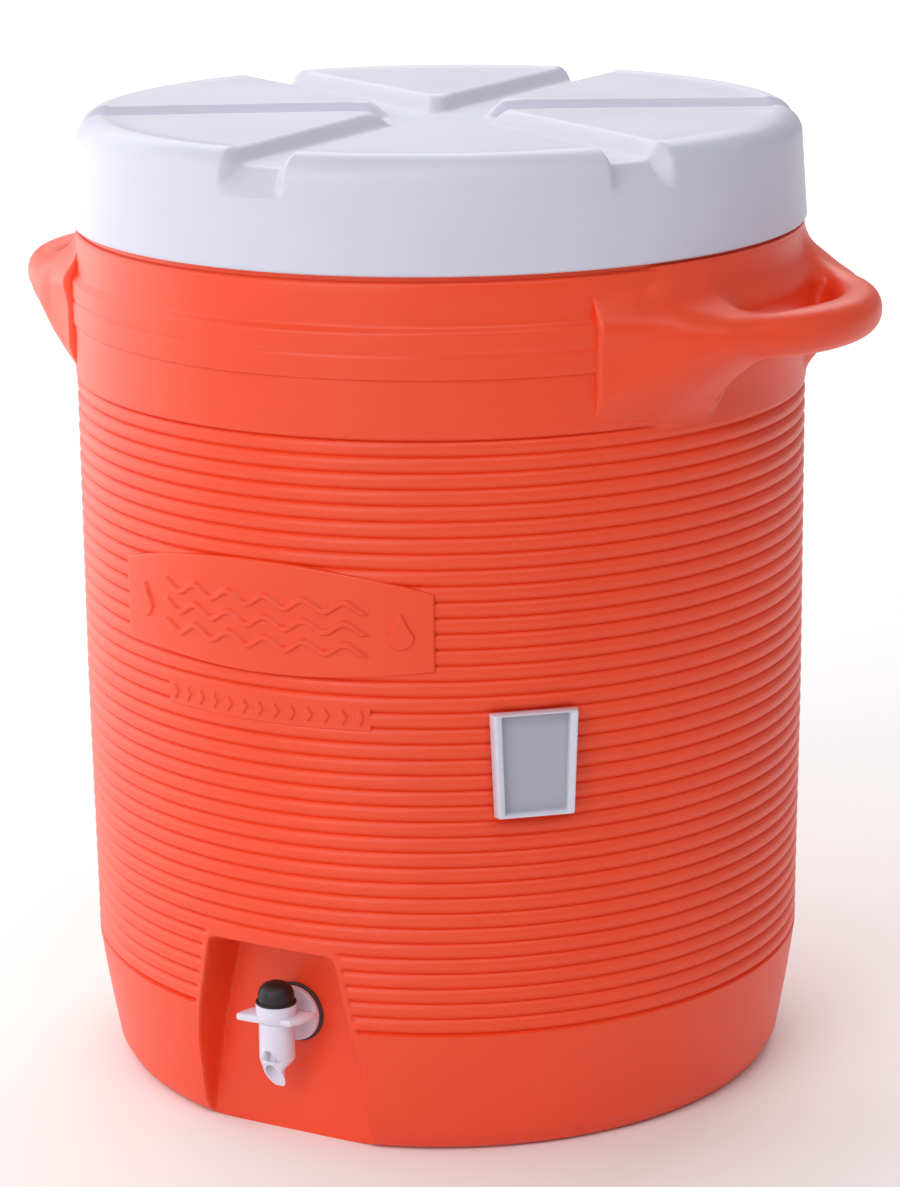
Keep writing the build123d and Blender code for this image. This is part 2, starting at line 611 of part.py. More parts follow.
def spigot_nut():
    """Hexagon nut that clamps the spigot through the wall."""
    far = LINER_FLAT - LINER_WALL - WASHER_THICKNESS
    hexagon = RegularPolygon(NUT_ACROSS / 2, 6, major_radius=False)
    nut = Pos(0, -far + NUT_HEIGHT, SPIGOT_HEIGHT) * Rot(90, 0, 0) * extrude(hexagon, NUT_HEIGHT)
    return nut - fore_aft(TAIL_RADIUS, far - NUT_HEIGHT - OVERSHOOT, far + OVERSHOOT, SPIGOT_HEIGHT)


def wall_sleeve():
    """Sleeve through the foam that keeps the two walls apart when the nut is tightened."""
    bore = TAIL_RADIUS + HOLE_CLEARANCE
    return bored(TAIL_RADIUS + SLEEVE_WALL, bore, LINER_FLAT, RECESS_PANEL - SHELL_WALL, SPIGOT_HEIGHT)


# ---- lid --------------------------------------------------------------------------------------

def lid_form(inset):
    """Outside of the lid's cover as a solid, or the same form set in by a wall."""
    radius = LID_RADIUS - inset
    top = TOTAL_HEIGHT - inset
    corner = LID_CORNER - inset
    middle = radius - LID_DRAFT - corner
    bulge = corner * sin(radians(45))
    points = [(0, LID_BOTTOM), (radius, LID_BOTTOM), (radius - LID_DRAFT, top - corner)]
    points += [(middle + bulge, top - corner + bulge), (middle, top), (0, top)]
    return turned(points)


def rim_notch(inset):
    """Scoop at the end of a groove, whose floor falls outwards at 45 degrees."""
    floor = TOTAL_HEIGHT - GROOVE_DEPTH
    slope = NOTCH_START + floor - inset * sqrt(2)
    near = slope - floor + inset
    far = LID_RADIUS + BOOLEAN_MARGIN
    high = TOTAL_HEIGHT + OVERSHOOT
    outline = [(-near, floor - inset), (-far, slope - far), (-far, high), (-near, high)]
    face = make_face(Polyline(*outline, close=True).edges())
    return Plane.YZ * extrude(face, GROOVE_WIDTH / 2 + inset, both=True)


def groove_tool(inset):
    """Six radial grooves that meet at the hub, each ending in a notch in the rim."""
    floor = TOTAL_HEIGHT - GROOVE_DEPTH - inset
    high = TOTAL_HEIGHT + OVERSHOOT
    foot = GROOVE_WIDTH / 2 + inset
    brow = foot + GROOVE_WALL
    section = [(-brow, high), (brow, high), (foot, floor), (-foot, floor)]
    groove = front_prism(section, 0, LID_RADIUS + BOOLEAN_MARGIN) + rim_notch(inset)
    tools = disc(HUB_RADIUS + inset, floor, high)
    for number in range(GROOVE_COUNT):
        tools += groove.rotate(Axis.Z, number * 360 / GROOVE_COUNT)
    return tools


def lid_shell():
    """Cover of the lid: grooved top, leaning side and a skirt that laps the tub's flange."""
    solid = lid_form(0) - groove_tool(0)
    inside = lid_form(LID_WALL) - groove_tool(LID_WALL)
    inside += disc(SKIRT_INNER, LID_BOTTOM - OVERSHOOT, PAN_TOP)
    return only_solid(solid - inside)


def lid_liner():
    """Underside of the lid: a pan with the plug that hangs in the mouth and carries the screw lugs."""
    pan = disc(SKIRT_INNER - FOAM_GAP, PAN_BOTTOM, PAN_TOP)
    plug = disc(PLUG_RADIUS, PLUG_BOTTOM, PAN_TOP)
    plug = chamfer(plug.edges().sort_by(Axis.Z)[0], PLUG_CHAMFER)
    hollow = disc(PLUG_RADIUS - PAN_WALL, PLUG_BOTTOM + PAN_WALL, PAN_TOP + OVERSHOOT)
    middle = PLUG_RADIUS - THREAD_ROOT + THREAD_DEPTH / 2
    lugs = thread_ring(middle, THREAD_DEPTH, PLUG_LUG_HEIGHT, PLUG_LUG_ANGLE)
    solid = pan + plug + lugs - hollow
    solid -= ring(GASKET_INNER, GASKET_OUTER, PAN_BOTTOM - OVERSHOOT, PAN_BOTTOM + GASKET_GROOVE)
    return only_solid(solid)


def lid_foam():
    """Foam inside the lid."""
    floor = PAN_TOP + FOAM_GAP
    inset = LID_WALL + FOAM_GAP
    solid = (lid_form(inset) - groove_tool(inset)) & disc(LID_RADIUS, floor, TOTAL_HEIGHT)
    solid += disc(PLUG_RADIUS - PAN_WALL - FOAM_GAP, PLUG_BOTTOM + PAN_WALL + FOAM_GAP, floor + OVERSHOOT)
    return only_solid(solid)


def lid_gasket():
    """Rubber ring that the lid presses on the tub's flange."""
    clear = JOINT_GAP / 2
    top = PAN_BOTTOM + GASKET_GROOVE - clear
    return ring(GASKET_INNER + clear, GASKET_OUTER - clear, GASKET_BOTTOM, top)


PIECES = [outer_shell, inner_liner, foam_insulation, foam_fill_plug, cup_bracket, bracket_push_nuts,
          spigot_body, spigot_bonnet, button_seal_ring, spigot_button, valve_stem, valve_disc,
          return_spring, outer_washer, inner_washer, spigot_nut, wall_sleeve, lid_shell, lid_liner,
          lid_foam, lid_gasket]

os.makedirs("parts", exist_ok=True)
for make_piece in PIECES:
    export_step(Part() + make_piece(), f"parts/{make_piece.__name__}.step")
    print("wrote", make_piece.__name__)
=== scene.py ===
"""Looks of an insulated drinking water dispenser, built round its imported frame.

Lengths in the functions are millimetres in the frame's own axes: origin on the floor at the
middle of the base, +Z up, spigot towards -Y, handles at +X and -X. Meshes are written in metres.
"""

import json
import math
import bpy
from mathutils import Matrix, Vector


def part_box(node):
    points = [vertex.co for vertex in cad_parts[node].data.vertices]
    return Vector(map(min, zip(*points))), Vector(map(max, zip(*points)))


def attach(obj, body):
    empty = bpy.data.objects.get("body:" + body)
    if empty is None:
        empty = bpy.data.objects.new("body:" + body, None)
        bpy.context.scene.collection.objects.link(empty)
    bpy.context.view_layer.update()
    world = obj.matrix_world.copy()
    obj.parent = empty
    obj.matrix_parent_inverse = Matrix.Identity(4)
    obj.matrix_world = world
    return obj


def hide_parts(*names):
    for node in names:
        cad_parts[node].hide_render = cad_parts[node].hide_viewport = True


bl_info = {
    "name": "Drinking Water Dispenser",
    "version": (1, 0, 0),
    "blender": (4, 5, 0),
    "location": "View3D > Sidebar > Dispenser",
    "description": "Builds the ribbed tub, grooved lid, handles, spigot and studio of a water dispenser",
    "category": "Add Mesh",
}

import bpy
import numpy as np
from bpy.props import FloatProperty, FloatVectorProperty, IntProperty, PointerProperty
from mathutils import Matrix, Vector

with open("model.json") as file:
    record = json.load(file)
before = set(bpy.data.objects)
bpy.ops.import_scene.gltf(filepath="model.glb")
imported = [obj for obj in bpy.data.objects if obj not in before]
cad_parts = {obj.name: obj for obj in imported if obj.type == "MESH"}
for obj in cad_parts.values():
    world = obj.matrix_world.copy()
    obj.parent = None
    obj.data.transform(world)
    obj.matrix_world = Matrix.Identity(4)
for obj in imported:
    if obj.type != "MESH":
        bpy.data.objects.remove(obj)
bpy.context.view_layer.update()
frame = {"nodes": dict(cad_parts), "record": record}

MM = 0.001


def node_box(node):
    """Lowest and highest corner of a frame node, in millimetres."""
    low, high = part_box(node)
    return np.array(low) / MM, np.array(high) / MM


# ---- sizes read from the frame, in millimetres ----

SHELL_HIGH = node_box("outer_shell")[1]
LID_LOW, LID_HIGH = node_box("lid_shell")
BARREL_LOW, BARREL_HIGH = node_box("valve_stem")
BONNET_LOW, BONNET_HIGH = node_box("spigot_bonnet")
BUTTON_LOW, BUTTON_HIGH = node_box("spigot_button")
SEAL_LOW, SEAL_HIGH = node_box("button_seal_ring")
WASHER_LOW, WASHER_HIGH = node_box("outer_washer")
SPIGOT_LOW, SPIGOT_HIGH = node_box("spigot_body")
BRACKET_LOW, BRACKET_HIGH = node_box("cup_bracket")

SHELL_TOP = SHELL_HIGH[2]
HANDLE_REACH = SHELL_HIGH[0]
LID_RADIUS = LID_HIGH[0]
LID_BOTTOM = LID_LOW[2]
LID_TOP = LID_HIGH[2]
PANEL = -WASHER_HIGH[1]
PIPE_HEIGHT = (WASHER_LOW[2] + WASHER_HIGH[2]) / 2
BARREL_Y = (BARREL_LOW[1] + BARREL_HIGH[1]) / 2

# ---- profile of the tub ----

BASE_RADIUS = 187.2
FOOT_RADIUS = 179.0
FOOT_INNER = 166.0
FOOT_HEIGHT = 4.0
FLOOR_TOP = 7.0
BODY_RADIUS = 200.0
RIBS_LOW_RADIUS = 198.8
SHOULDER_RADIUS = 200.7
BAND_RADIUS = 201.7
NECK_RADIUS = 198.5
BAND_BOTTOM = 420.0
BAND_TOP = 444.0
WALL = 3.0
RECESS_TOP = 113.0
RECESS_TOP_HALF = 38.5
RECESS_KNEE = 50.0
RECESS_KNEE_HALF = 50.5
RECESS_FOOT_HALF = 51.5
RAMP_TOP = 44.0
RAMP = 7.0
TURN = 2 * math.pi


def smooth(t):
    """S-curve from 0 to 1: 3t^2 - 2t^3 of t held between 0 and 1."""
    t = np.clip(t, 0.0, 1.0)
    return t * t * (3.0 - 2.0 * t)


def soft_min(a, b, blend):
    """Smaller of two fields with a fillet: min(a, b) less h^2 blend / 4, h = 1 - |a - b| / blend."""
    gap = np.clip(1.0 - np.abs(a - b) / blend, 0.0, 1.0)
    return np.minimum(a, b) - gap * gap * blend / 4.0


def soft_max(a, b, blend):
    """Larger of two fields with a rounded edge: the soft minimum turned upside down."""
    return -soft_min(-a, -b, blend)


def polar(radius, angle, height):
    """Points at a radius and an angle from -Y towards +X: (r sin a, -r cos a, z)."""
    radius, angle, height = np.broadcast_arrays(radius, angle, height)
    return np.stack([radius * np.sin(angle), -radius * np.cos(angle), height], axis=-1)


# ---- meshes ----

def write_mesh(name, points, faces, crease=math.radians(35)):
    """Mesh object from an array of points in millimetres and a list of face index arrays."""
    mesh = bpy.data.meshes.new(name)
    corners = np.concatenate([face.ravel() for face in faces])
    sizes = np.concatenate([np.full(len(face), face.shape[1]) for face in faces])
    starts = np.concatenate([[0], np.cumsum(sizes)[:-1]])
    mesh.vertices.add(len(points))
    mesh.vertices.foreach_set("co", (points * MM).astype(np.float32).ravel())
    mesh.loops.add(len(corners))
    mesh.loops.foreach_set("vertex_index", corners.astype(np.int32))
    mesh.polygons.add(len(sizes))
    mesh.polygons.foreach_set("loop_start", starts.astype(np.int32))
    mesh.polygons.foreach_set("use_smooth", np.ones(len(sizes), dtype=bool))
    mesh.update(calc_edges=True)
    mesh.validate()
    if crease is not None:
        mesh.set_sharp_from_angle(angle=crease)
    piece = bpy.data.objects.new(name, mesh)
    bpy.context.scene.collection.objects.link(piece)
    return piece


def ring_faces(rows, columns, closed):
    """Quads between neighbouring rows of a grid whose last column meets its first."""
    row = np.arange(rows if closed else rows - 1)[:, None]
    column = np.arange(columns)[None, :]
    here = row * columns
    above = ((row + 1) % rows) * columns
    after = (column + 1) % columns
    return np.stack([here + column, here + after, above + after, above + column], -1).reshape(-1, 4)


def turned_skin(name, rings, closed=False, crease=math.radians(35), flip=False):
    """Closed surface from rings of points, one row of the array for each ring.

    Each ring joins the next one. A closed surface joins its last ring to its first, as on a tyre,
    and any other is shut by a fan of triangles round the mean of its first and of its last ring.
    """
    rows, columns = rings.shape[:2]
    points = rings.reshape(-1, 3)
    faces = [ring_faces(rows, columns, closed)]
    if not closed:
        poles = np.stack([rings[0].mean(axis=0), rings[-1].mean(axis=0)])
        first = len(points)
        points = np.concatenate([points, poles])
        here = np.arange(columns)
        after = (here + 1) % columns
        last = (rows - 1) * columns
        faces.append(np.stack([after, here, np.full(columns, first)], -1))
        faces.append(np.stack([last + here, last + after, np.full(columns, first + 1)], -1))
    if flip:
        faces = [face[:, ::-1] for face in faces]
    return write_mesh(name, points, faces, crease)


def turned_profile(name, radii, heights, columns=96, closed=False, crease=math.radians(35)):
    """Surface of revolution about Z: ring i has radius r_i at height z_i, from the bottom up outside."""
    angles = np.linspace(0.0, TURN, columns, endpoint=False)
    rings = polar(np.array(radii)[:, None], angles[None, :], np.array(heights)[:, None])
    return turned_skin(name, rings, closed, crease)


def corner(start, end, centre, radius, count=6):
    """Points of a round corner in a profile: centre plus radius at angles from start to end, in degrees."""
    angles = np.radians(np.linspace(start, end, count))
    return [(centre[0] + radius * math.cos(a), centre[1] + radius * math.sin(a)) for a in angles]


def surface_net(name, field, low, high, step):
    """Skin of the space where a field is below zero, on a cubic lattice.

    A lattice cell that the skin crosses gets one vertex, at the mean of the crossings on its edges.
    A lattice edge that crosses gets one quad through its four cells. Each vertex is then moved
    along the field's gradient, by the field over the gradient's length, until it is on the skin.
    """
    axes = [np.arange(a, b + step, step) for a, b in zip(low, high)]
    values = field(*np.meshgrid(*axes, indexing="ij"))
    for axis in range(3):
        np.moveaxis(values, axis, 0)[[0, -1]] = step
    shape = np.array(values.shape) - 1
    total = np.zeros((*shape, 3))
    count = np.zeros(shape)
    crossings = []
    for axis in range(3):
        ahead = np.moveaxis(values, axis, 0)
        near, far = ahead[:-1], ahead[1:]
        crosses = (near < 0) != (far < 0)
        share = np.where(crosses, near / np.where(crosses, near - far, 1.0), 0.0)
        crossings.append((crosses, near < 0))
        side_a, side_b = [other for other in range(3) if other != axis]
        sums = np.moveaxis(total, axis, 0)
        counts = np.moveaxis(count, axis, 0)
        for u in (0, 1):
            for v in (0, 1):
                part = (slice(None), slice(u, shape[side_a] + u), slice(v, shape[side_b] + v))
                sums[..., axis] += share[part]
                sums[..., side_a] += u * crosses[part]
                sums[..., side_b] += v * crosses[part]
                counts += crosses[part]
    used = count > 0
    number = np.full(shape, -1)
    number[used] = np.arange(used.sum())
    cells = np.argwhere(used)
    points = np.array(low) + (cells + total[used] / count[used][:, None]) * step
    for _ in range(3):
        points = points - on_skin_step(field, points, step)
    faces = []
    for axis in range(3):
        crosses, outward = crossings[axis]
        side_a, side_b = (axis + 1) % 3, (axis + 2) % 3
        edges = np.argwhere(crosses)
        order = [axis] + [other for other in range(3) if other != axis]
        place = np.empty_like(edges)
        place[:, order] = edges
        keep = (place[:, side_a] > 0) & (place[:, side_b] > 0)
        keep &= (place[:, side_a] < shape[side_a]) & (place[:, side_b] < shape[side_b])
        place = place[keep]
        out = outward[crosses][keep]
        quad = []
        for a, b in ((1, 1), (0, 1), (0, 0), (1, 0)):
            cell = place.copy()
            cell[:, side_a] -= a
            cell[:, side_b] -= b
            quad.append(number[tuple(cell.T)])
        quad = np.stack(quad, -1)
        quad[~out] = quad[~out][:, ::-1]
        faces.append(quad)
    return write_mesh(name, points, [np.concatenate(faces)], crease=None)


def on_skin_step(field, points, limit):
    """One step of each point towards the skin: field times gradient over gradient squared."""
    reach = 0.05
    value = field(*points.T)
    slopes = []
    for axis in range(3):
        shift = np.zeros(3)
        shift[axis] = reach
        slopes.append((field(*(points + shift).T) - field(*(points - shift).T)) / (2 * reach))
    slope = np.stack(slopes, -1)
    length = np.maximum((slope ** 2).sum(-1), 0.05)
    move = np.clip(value / length, -limit, limit)
    return slope * move[:, None]


# ---- shader expressions ----

class Shade:
    """A shader socket that takes part in Python arithmetic by adding Math nodes."""

    def __init__(self, tree, socket):
        self.tree = tree
        self.socket = socket

    def node(self, kind, settings=None, **inputs):
        """Any node: its settings are set first, then its sockets by name or number."""
        made = self.tree.nodes.new(kind)
        for key, value in (settings or {}).items():
            setattr(made, key, value)
        for key, value in inputs.items():
            socket = made.inputs[int(key[1:]) if key[1:].isdigit() else key.replace("_", " ")]
            if isinstance(value, Shade):
                self.tree.links.new(value.socket, socket)
            else:
                socket.default_value = value
        return made

    def read(self, kind, settings=None, output=0, **inputs):
        """A node's output as a new expression."""
        return Shade(self.tree, self.node(kind, settings, **inputs).outputs[output])

    def maths(self, operation, *values, clamp=False):
        """A Math node on this value and others."""
        places = {f"i{number}": value for number, value in enumerate(values)}
        return self.read("ShaderNodeMath", {"operation": operation, "use_clamp": clamp}, **places)

    def __add__(self, other):
        return self.maths("ADD", self, other)

    def __radd__(self, other):
        return self.maths("ADD", other, self)

    def __sub__(self, other):
        return self.maths("SUBTRACT", self, other)

    def __rsub__(self, other):
        return self.maths("SUBTRACT", other, self)

    def __mul__(self, other):
        return self.maths("MULTIPLY", self, other)

    def __rmul__(self, other):
        return self.maths("MULTIPLY", other, self)

    def held(self):
        """The value held between 0 and 1."""
        return self.maths("ADD", self, 0.0, clamp=True)

    def step(self, low, high):
        """Smooth rise from 0 at low to 1 at high."""
        return self.read("ShaderNodeMapRange", {"interpolation_type": "SMOOTHSTEP"}, Value=self,
                         From_Min=low, From_Max=high)

    def tint(self, first, second):
        """Mix of two colours by this value."""
        return self.read("ShaderNodeMix", {"data_type": "RGBA"}, output=2, i0=self, i6=first, i7=second)

    def stretched(self, x, y, z):
        """This vector with each axis scaled."""
        return self.read("ShaderNodeMapping", {"vector_type": "POINT"}, Vector=self, Scale=(x, y, z))

    def noise(self, scale, detail=3.0, rough=0.5):
        """Cloudy noise read at this vector, about 0.5 in the mean."""
        return self.read("ShaderNodeTexNoise", None, Vector=self, Scale=scale, Detail=detail, Roughness=rough)


def new_material(name):
    """Empty node material with its shader, and the place on the object as an expression."""
    material = bpy.data.materials.new(name)
    material.use_nodes = True
    tree = material.node_tree
    shader = tree.nodes["Principled BSDF"]
    return material, shader, Shade(tree, None).read("ShaderNodeTexCoord", output=3)


def connect(shader, **inputs):
    """Sockets of the shader by name: constants are set and expressions are linked."""
    tree = shader.id_data
    for key, value in inputs.items():
        socket = shader.inputs[key.replace("_", " ")]
        if isinstance(value, Shade):
            tree.links.new(value.socket, socket)
        else:
            socket.default_value = value


def bumped(place, height, strength, distance):
    """Normal made from a height expression, as deep as distance in metres."""
    return place.read("ShaderNodeBump", None, Strength=strength, Distance=distance, Height=height)


def rgba(colour, factor=1.0):
    """A colour with its opacity, made lighter or darker by a factor."""
    return tuple(min(1.0, channel * factor) for channel in colour[:3]) + (1.0,)


def moulded_plastic(name, colour, rough, peel, scuff, dust, sunk):
    """Moulded plastic: faint flow clouds, fine orange peel, hairline scuffs and uneven gloss.

    Colour is the base times a slow cloud, with pale hairlines where a stretched noise peaks.
    Height is a fine noise plus a finer grain, and the hairlines are cut into it. Where the
    attribute "sunk" is 1 the colour is darker by the factor given, as painted shade on a sunk face.
    """
    material, shader, place = new_material(name)
    cloud = place.noise(9.0, 3.0)
    drift = place.noise(2.2, 2.0)
    grain = place.noise(1500.0, 2.0)
    orange_peel = place.noise(330.0, 2.0, 0.45)
    streaks = place.stretched(26.0, 26.0, 900.0).noise(1.0, 2.0, 0.6)
    patches = place.noise(14.0, 2.0).step(0.52, 0.72)
    hairlines = streaks.step(0.66, 0.74) * patches * scuff
    shade = (cloud * 0.6 + drift * 0.4).step(0.3, 0.7)
    base = shade.tint(rgba(colour, 0.955), rgba(colour, 1.03))
    # Painted shade: where the attribute "sunk" is 1, the base colour is darkened by the factor sunk.
    if sunk != 1.0:
        low = place.read("ShaderNodeAttribute", {"attribute_name": "sunk"}, output=2)
        base = low.tint(base, rgba(colour, sunk))
    pale = (0.55 * colour[0] + 0.4, 0.55 * colour[1] + 0.4, 0.55 * colour[2] + 0.4, 1.0)
    base = (hairlines * 0.10).tint(base, pale)
    if dust:
        base = (place.noise(60.0, 4.0, 0.7).step(0.45, 0.8) * dust).tint(base, pale)
    gloss = rough + (cloud - 0.5) * 0.10 + hairlines * 0.12 + (grain - 0.5) * 0.05
    height = orange_peel * peel + grain * 0.25 - hairlines * 0.6
    connect(shader, Base_Color=base, Roughness=gloss.held(), IOR=1.5,
            Normal=bumped(place, height, 0.35, 0.00012))
    return material


def rubber(name, colour):
    """Moulded rubber: matt, with a fine grain, a faint bloom and dust caught in patches."""
    material, shader, place = new_material(name)
    cloud = place.noise(120.0, 3.0)
    grain = place.noise(2600.0, 2.0)
    bloom = cloud.step(0.42, 0.75)
    base = (bloom * 0.5).tint(rgba(colour), (colour[0] + 0.018, colour[1] + 0.017, colour[2] + 0.016, 1.0))
    connect(shader, Base_Color=base, Roughness=(0.46 + bloom * 0.16 + (grain - 0.5) * 0.08).held(), IOR=1.5,
            Normal=bumped(place, grain + cloud * 0.4, 0.3, 0.00008))
    return material


def cut_foam(name, colour):
    """Rigid foam: closed cells of two sizes, darker between the cells and browned in patches."""
    material, shader, place = new_material(name)
    cells = place.read("ShaderNodeTexVoronoi", {"feature": "F1"}, Vector=place, Scale=420.0)
    big = place.read("ShaderNodeTexVoronoi", {"feature": "F1"}, Vector=place, Scale=130.0)
    age = place.noise(12.0, 3.0).step(0.4, 0.7)
    pits = (cells * 0.6 + big * 0.4).step(0.1, 0.7)
    base = (pits * 0.6 + age * 0.25).held().tint(rgba(colour, 1.08), rgba(colour, 0.68))
    connect(shader, Base_Color=base, Roughness=0.92, Normal=bumped(place, 1.0 - pits, 0.6, 0.0006))
    return material


def drawn_steel(name, colour):
    """Stainless wire and pressed steel: draw lines along the part and slightly uneven gloss."""
    material, shader, place = new_material(name)
    lines = place.stretched(160.0, 160.0, 3200.0).noise(1.0, 3.0, 0.6)
    patina = place.noise(90.0, 2.0)
    base = (patina * 0.4 + lines * 0.3).held().tint(rgba(colour, 1.1), rgba(colour, 0.72))
    connect(shader, Base_Color=base, Metallic=1.0, Roughness=(0.24 + lines * 0.14 + patina * 0.08).held(),
            Normal=bumped(place, lines, 0.25, 0.00004))
    return material


def studio_floor(name, colour):
    """Matt paper floor with a faint tooth."""
    material, shader, place = new_material(name)
    fibre = place.noise(700.0, 3.0)
    base = fibre.tint(rgba(colour, 0.995), rgba(colour))
    connect(shader, Base_Color=base, Roughness=0.85, Normal=bumped(place, fibre, 0.1, 0.0001))
    return material


MATERIALS = {}


def dress(piece, slot):
    """Gives a piece the material of a slot of the record."""
    piece.data.materials.clear()
    piece.data.materials.append(MATERIALS[slot])


def finish_piece(piece, body, slot, *nodes):
    """Material, body, slot and the frame nodes that a new piece stands for."""
    dress(piece, slot)
    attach(piece, body)
    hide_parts(*nodes)


# ---- properties ----

def length(name, default, description):
    """A length property, in metres in the panel."""
    return FloatProperty(name=name, default=default * MM, description=description, unit="LENGTH",
                         subtype="DISTANCE", precision=4)


def colour(name, default, description):
    """A colour property."""
    return FloatVectorProperty(name=name, default=default, description=description, subtype="COLOR",
                               size=3, min=0.0, max=1.0)


def angle(name, default, description):
    """An angle property, in radians."""
    return FloatProperty(name=name, default=default, description=description, subtype="ANGLE")


def power(name, default, description):
    """A light's power, in watts."""
    return FloatProperty(name=name, default=default, description=description, unit="POWER")


class DispenserShellSizes(bpy.types.PropertyGroup):
    """Sizes of the ribbed shell and its handles."""

    rib_count: IntProperty(name="Ribs", default=38, min=4, description="Number of ribs round the tub")
    ribs_top: length("Top of the ribs", 388.75, "Height of the uppermost rib valley")
    rib_pitch: length("Rib pitch", 8.368, "Height of one rib")
    rib_depth: length("Rib depth", 2.2, "Depth of the valleys between ribs")
    bar_top: length("Handle bar top", 444.0, "Height of the top of the handle's bar")
    bar_bottom: length("Handle bar bottom", 420.0, "Height of the underside of the handle's bar")
    bar_depth: length("Handle bar depth", 24.0, "Depth of the bar seen from above")
    root_top: length("Handle root top", 450.0, "Height where the handle's roots meet the neck")
    root_bottom: length("Handle root bottom", 394.0, "Height where the roots meet the shoulder")
    relief: length("Motif relief", 1.5, "How far the raised motif stands off the badge")


class DispenserLidSizes(bpy.types.PropertyGroup):
    """Sizes of the grooved lid."""

    groove_count: IntProperty(name="Grooves", default=6, min=3, description="Number of radial grooves")
    groove_depth: length("Groove depth", 9.0, "Depth of the grooves in the top")
    groove_width: length("Groove width", 31.0, "Width of the grooves half way down their walls")
    hub_radius: length("Hub radius", 22.0, "Radius of the sunk hub where the grooves meet")
    corner_radius: length("Rim rounding", 15.0, "Rounding between the top and the side")
    notch_drop: length("Notch drop", 22.0, "How far the rim notches reach below the top")


class DispenserColours(bpy.types.PropertyGroup):
    """Colours of the mouldings."""

    shell: colour("Shell", (0.86, 0.062, 0.014), "Orange moulded shell")
    lid: colour("Lid", (0.62, 0.61, 0.73), "White lid, slightly violet")
    liner: colour("Liner", (0.80, 0.80, 0.79), "White food-grade tub")
    spigot: colour("Spigot", (0.74, 0.72, 0.84), "White spigot moulding")
    bracket: colour("Bracket", (0.66, 0.66, 0.77), "White cup bracket")
    black_rubber: colour("Button", (0.010, 0.009, 0.009), "Black rubber of the button")
    grey_rubber: colour("Washers", (0.035, 0.032, 0.036), "Dark rubber of washers and gasket")
    foam: colour("Foam", (0.80, 0.68, 0.40), "Rigid foam")
    plug: colour("Floor plug", (0.28, 0.28, 0.29), "Grey plug in the floor")
    steel: colour("Steel", (0.60, 0.60, 0.60), "Spring and push nuts")
    floor: colour("Floor", (0.93, 0.93, 0.935), "Studio floor")


class DispenserStudio(bpy.types.PropertyGroup):
    """Camera and lights."""

    camera_turn: angle("Camera turn", math.radians(28.7), "Angle from the spigot towards the right handle")
    camera_distance: length("Camera distance", 1989.8, "Level distance of the camera from the axis")
    camera_height: length("Camera height", 790.8, "Height of the camera above the floor")
    camera_pitch: angle("Camera pitch", 0.2623, "How far the camera looks down")
    camera_roll: angle("Camera roll", -0.0112, "Lean of the camera")
    camera_yaw: angle("Camera yaw", 0.0017, "How far the camera looks past the axis")
    lens: FloatProperty(name="Lens", default=111.26, description="Focal length for a 36 mm frame, in mm")
    key_power: power("Key light", 22.0, "Power of the key light")
    wash_power: power("Side light", 42.0, "Power of the side light")
    fill_power: power("Fill light", 3.5, "Power of the fill light")
    front_power: power("Front light", 14.0, "Power of the high front light")
    floor_power: power("Floor light", 260.0, "Power of the light on the floor")
    sky: FloatProperty(name="Surround", default=0.34, description="Strength of the white surround")


# ---- ribbed shell ----

RIB_ROWS = np.array([0.0, 0.03, 0.08, 0.15, 0.25, 0.37, 0.5, 0.63, 0.75, 0.85, 0.92, 0.97])


def rib_rows(sizes, first, last):
    """Heights of the rows of ribs first to last, from the bottom up, closer together at each valley."""
    number = np.arange(last, first, -1)[:, None]
    return (sizes.ribs_top / MM - (number - RIB_ROWS) * sizes.rib_pitch / MM).ravel()


def rib_dip(sizes, height):
    """Depth under the rib crests: rib_depth |2t - 1|^2.6, t the share of a rib, and 0 off the ribs."""
    below = (sizes.ribs_top / MM - height) / (sizes.rib_pitch / MM)
    share = below - np.floor(below)
    dip = sizes.rib_depth / MM * np.abs(2.0 * share - 1.0) ** 2.6
    return np.where((below < 0.0) | (below > sizes.rib_count), 0.0, dip)


def tub_radius(sizes, height):
    """Radius of the tub's crest line: a leaning, slightly bowed base, then the straight ribbed drum."""
    bottom = sizes.ribs_top / MM - sizes.rib_count * sizes.rib_pitch / MM
    base = np.clip(height / bottom, 0.0, 1.0)
    bowed = BASE_RADIUS + (RIBS_LOW_RADIUS - BASE_RADIUS) * (base + 0.22 * base * (1.0 - base))
    drum = np.clip((height - bottom) / (sizes.ribs_top / MM - bottom), 0.0, 1.0)
    return bowed + (BODY_RADIUS + 0.3 - RIBS_LOW_RADIUS) * smooth(drum * 2.0)


def recess_half(height):
    """Half width of the recess: straight edges from its top to a knee, and on down to the floor."""
    upper = RECESS_KNEE_HALF + (RECESS_TOP_HALF - RECESS_KNEE_HALF) * (height - RECESS_KNEE) / (
        RECESS_TOP - RECESS_KNEE)
    lower = RECESS_FOOT_HALF + (RECESS_KNEE_HALF - RECESS_FOOT_HALF) * height / RECESS_KNEE
    return np.where(height > RECESS_KNEE, upper, lower)


def recess_inset(x, height):
    """Distance inside the recess's outline, with a rounded top corner; negative outside it."""
    arch = RECESS_TOP - 0.0009 * x * x
    return -soft_max(np.abs(x) - recess_half(np.minimum(height, RECESS_TOP)), height - arch, 5.0)


def panel_depth(height):
    """Distance of the recess's panel from the axis: upright, and under the spigot slanting forward."""
    slope = RAMP / RAMP_TOP
    return PANEL + soft_max(0.0 * height, (RAMP_TOP - height) * slope, 1.2)


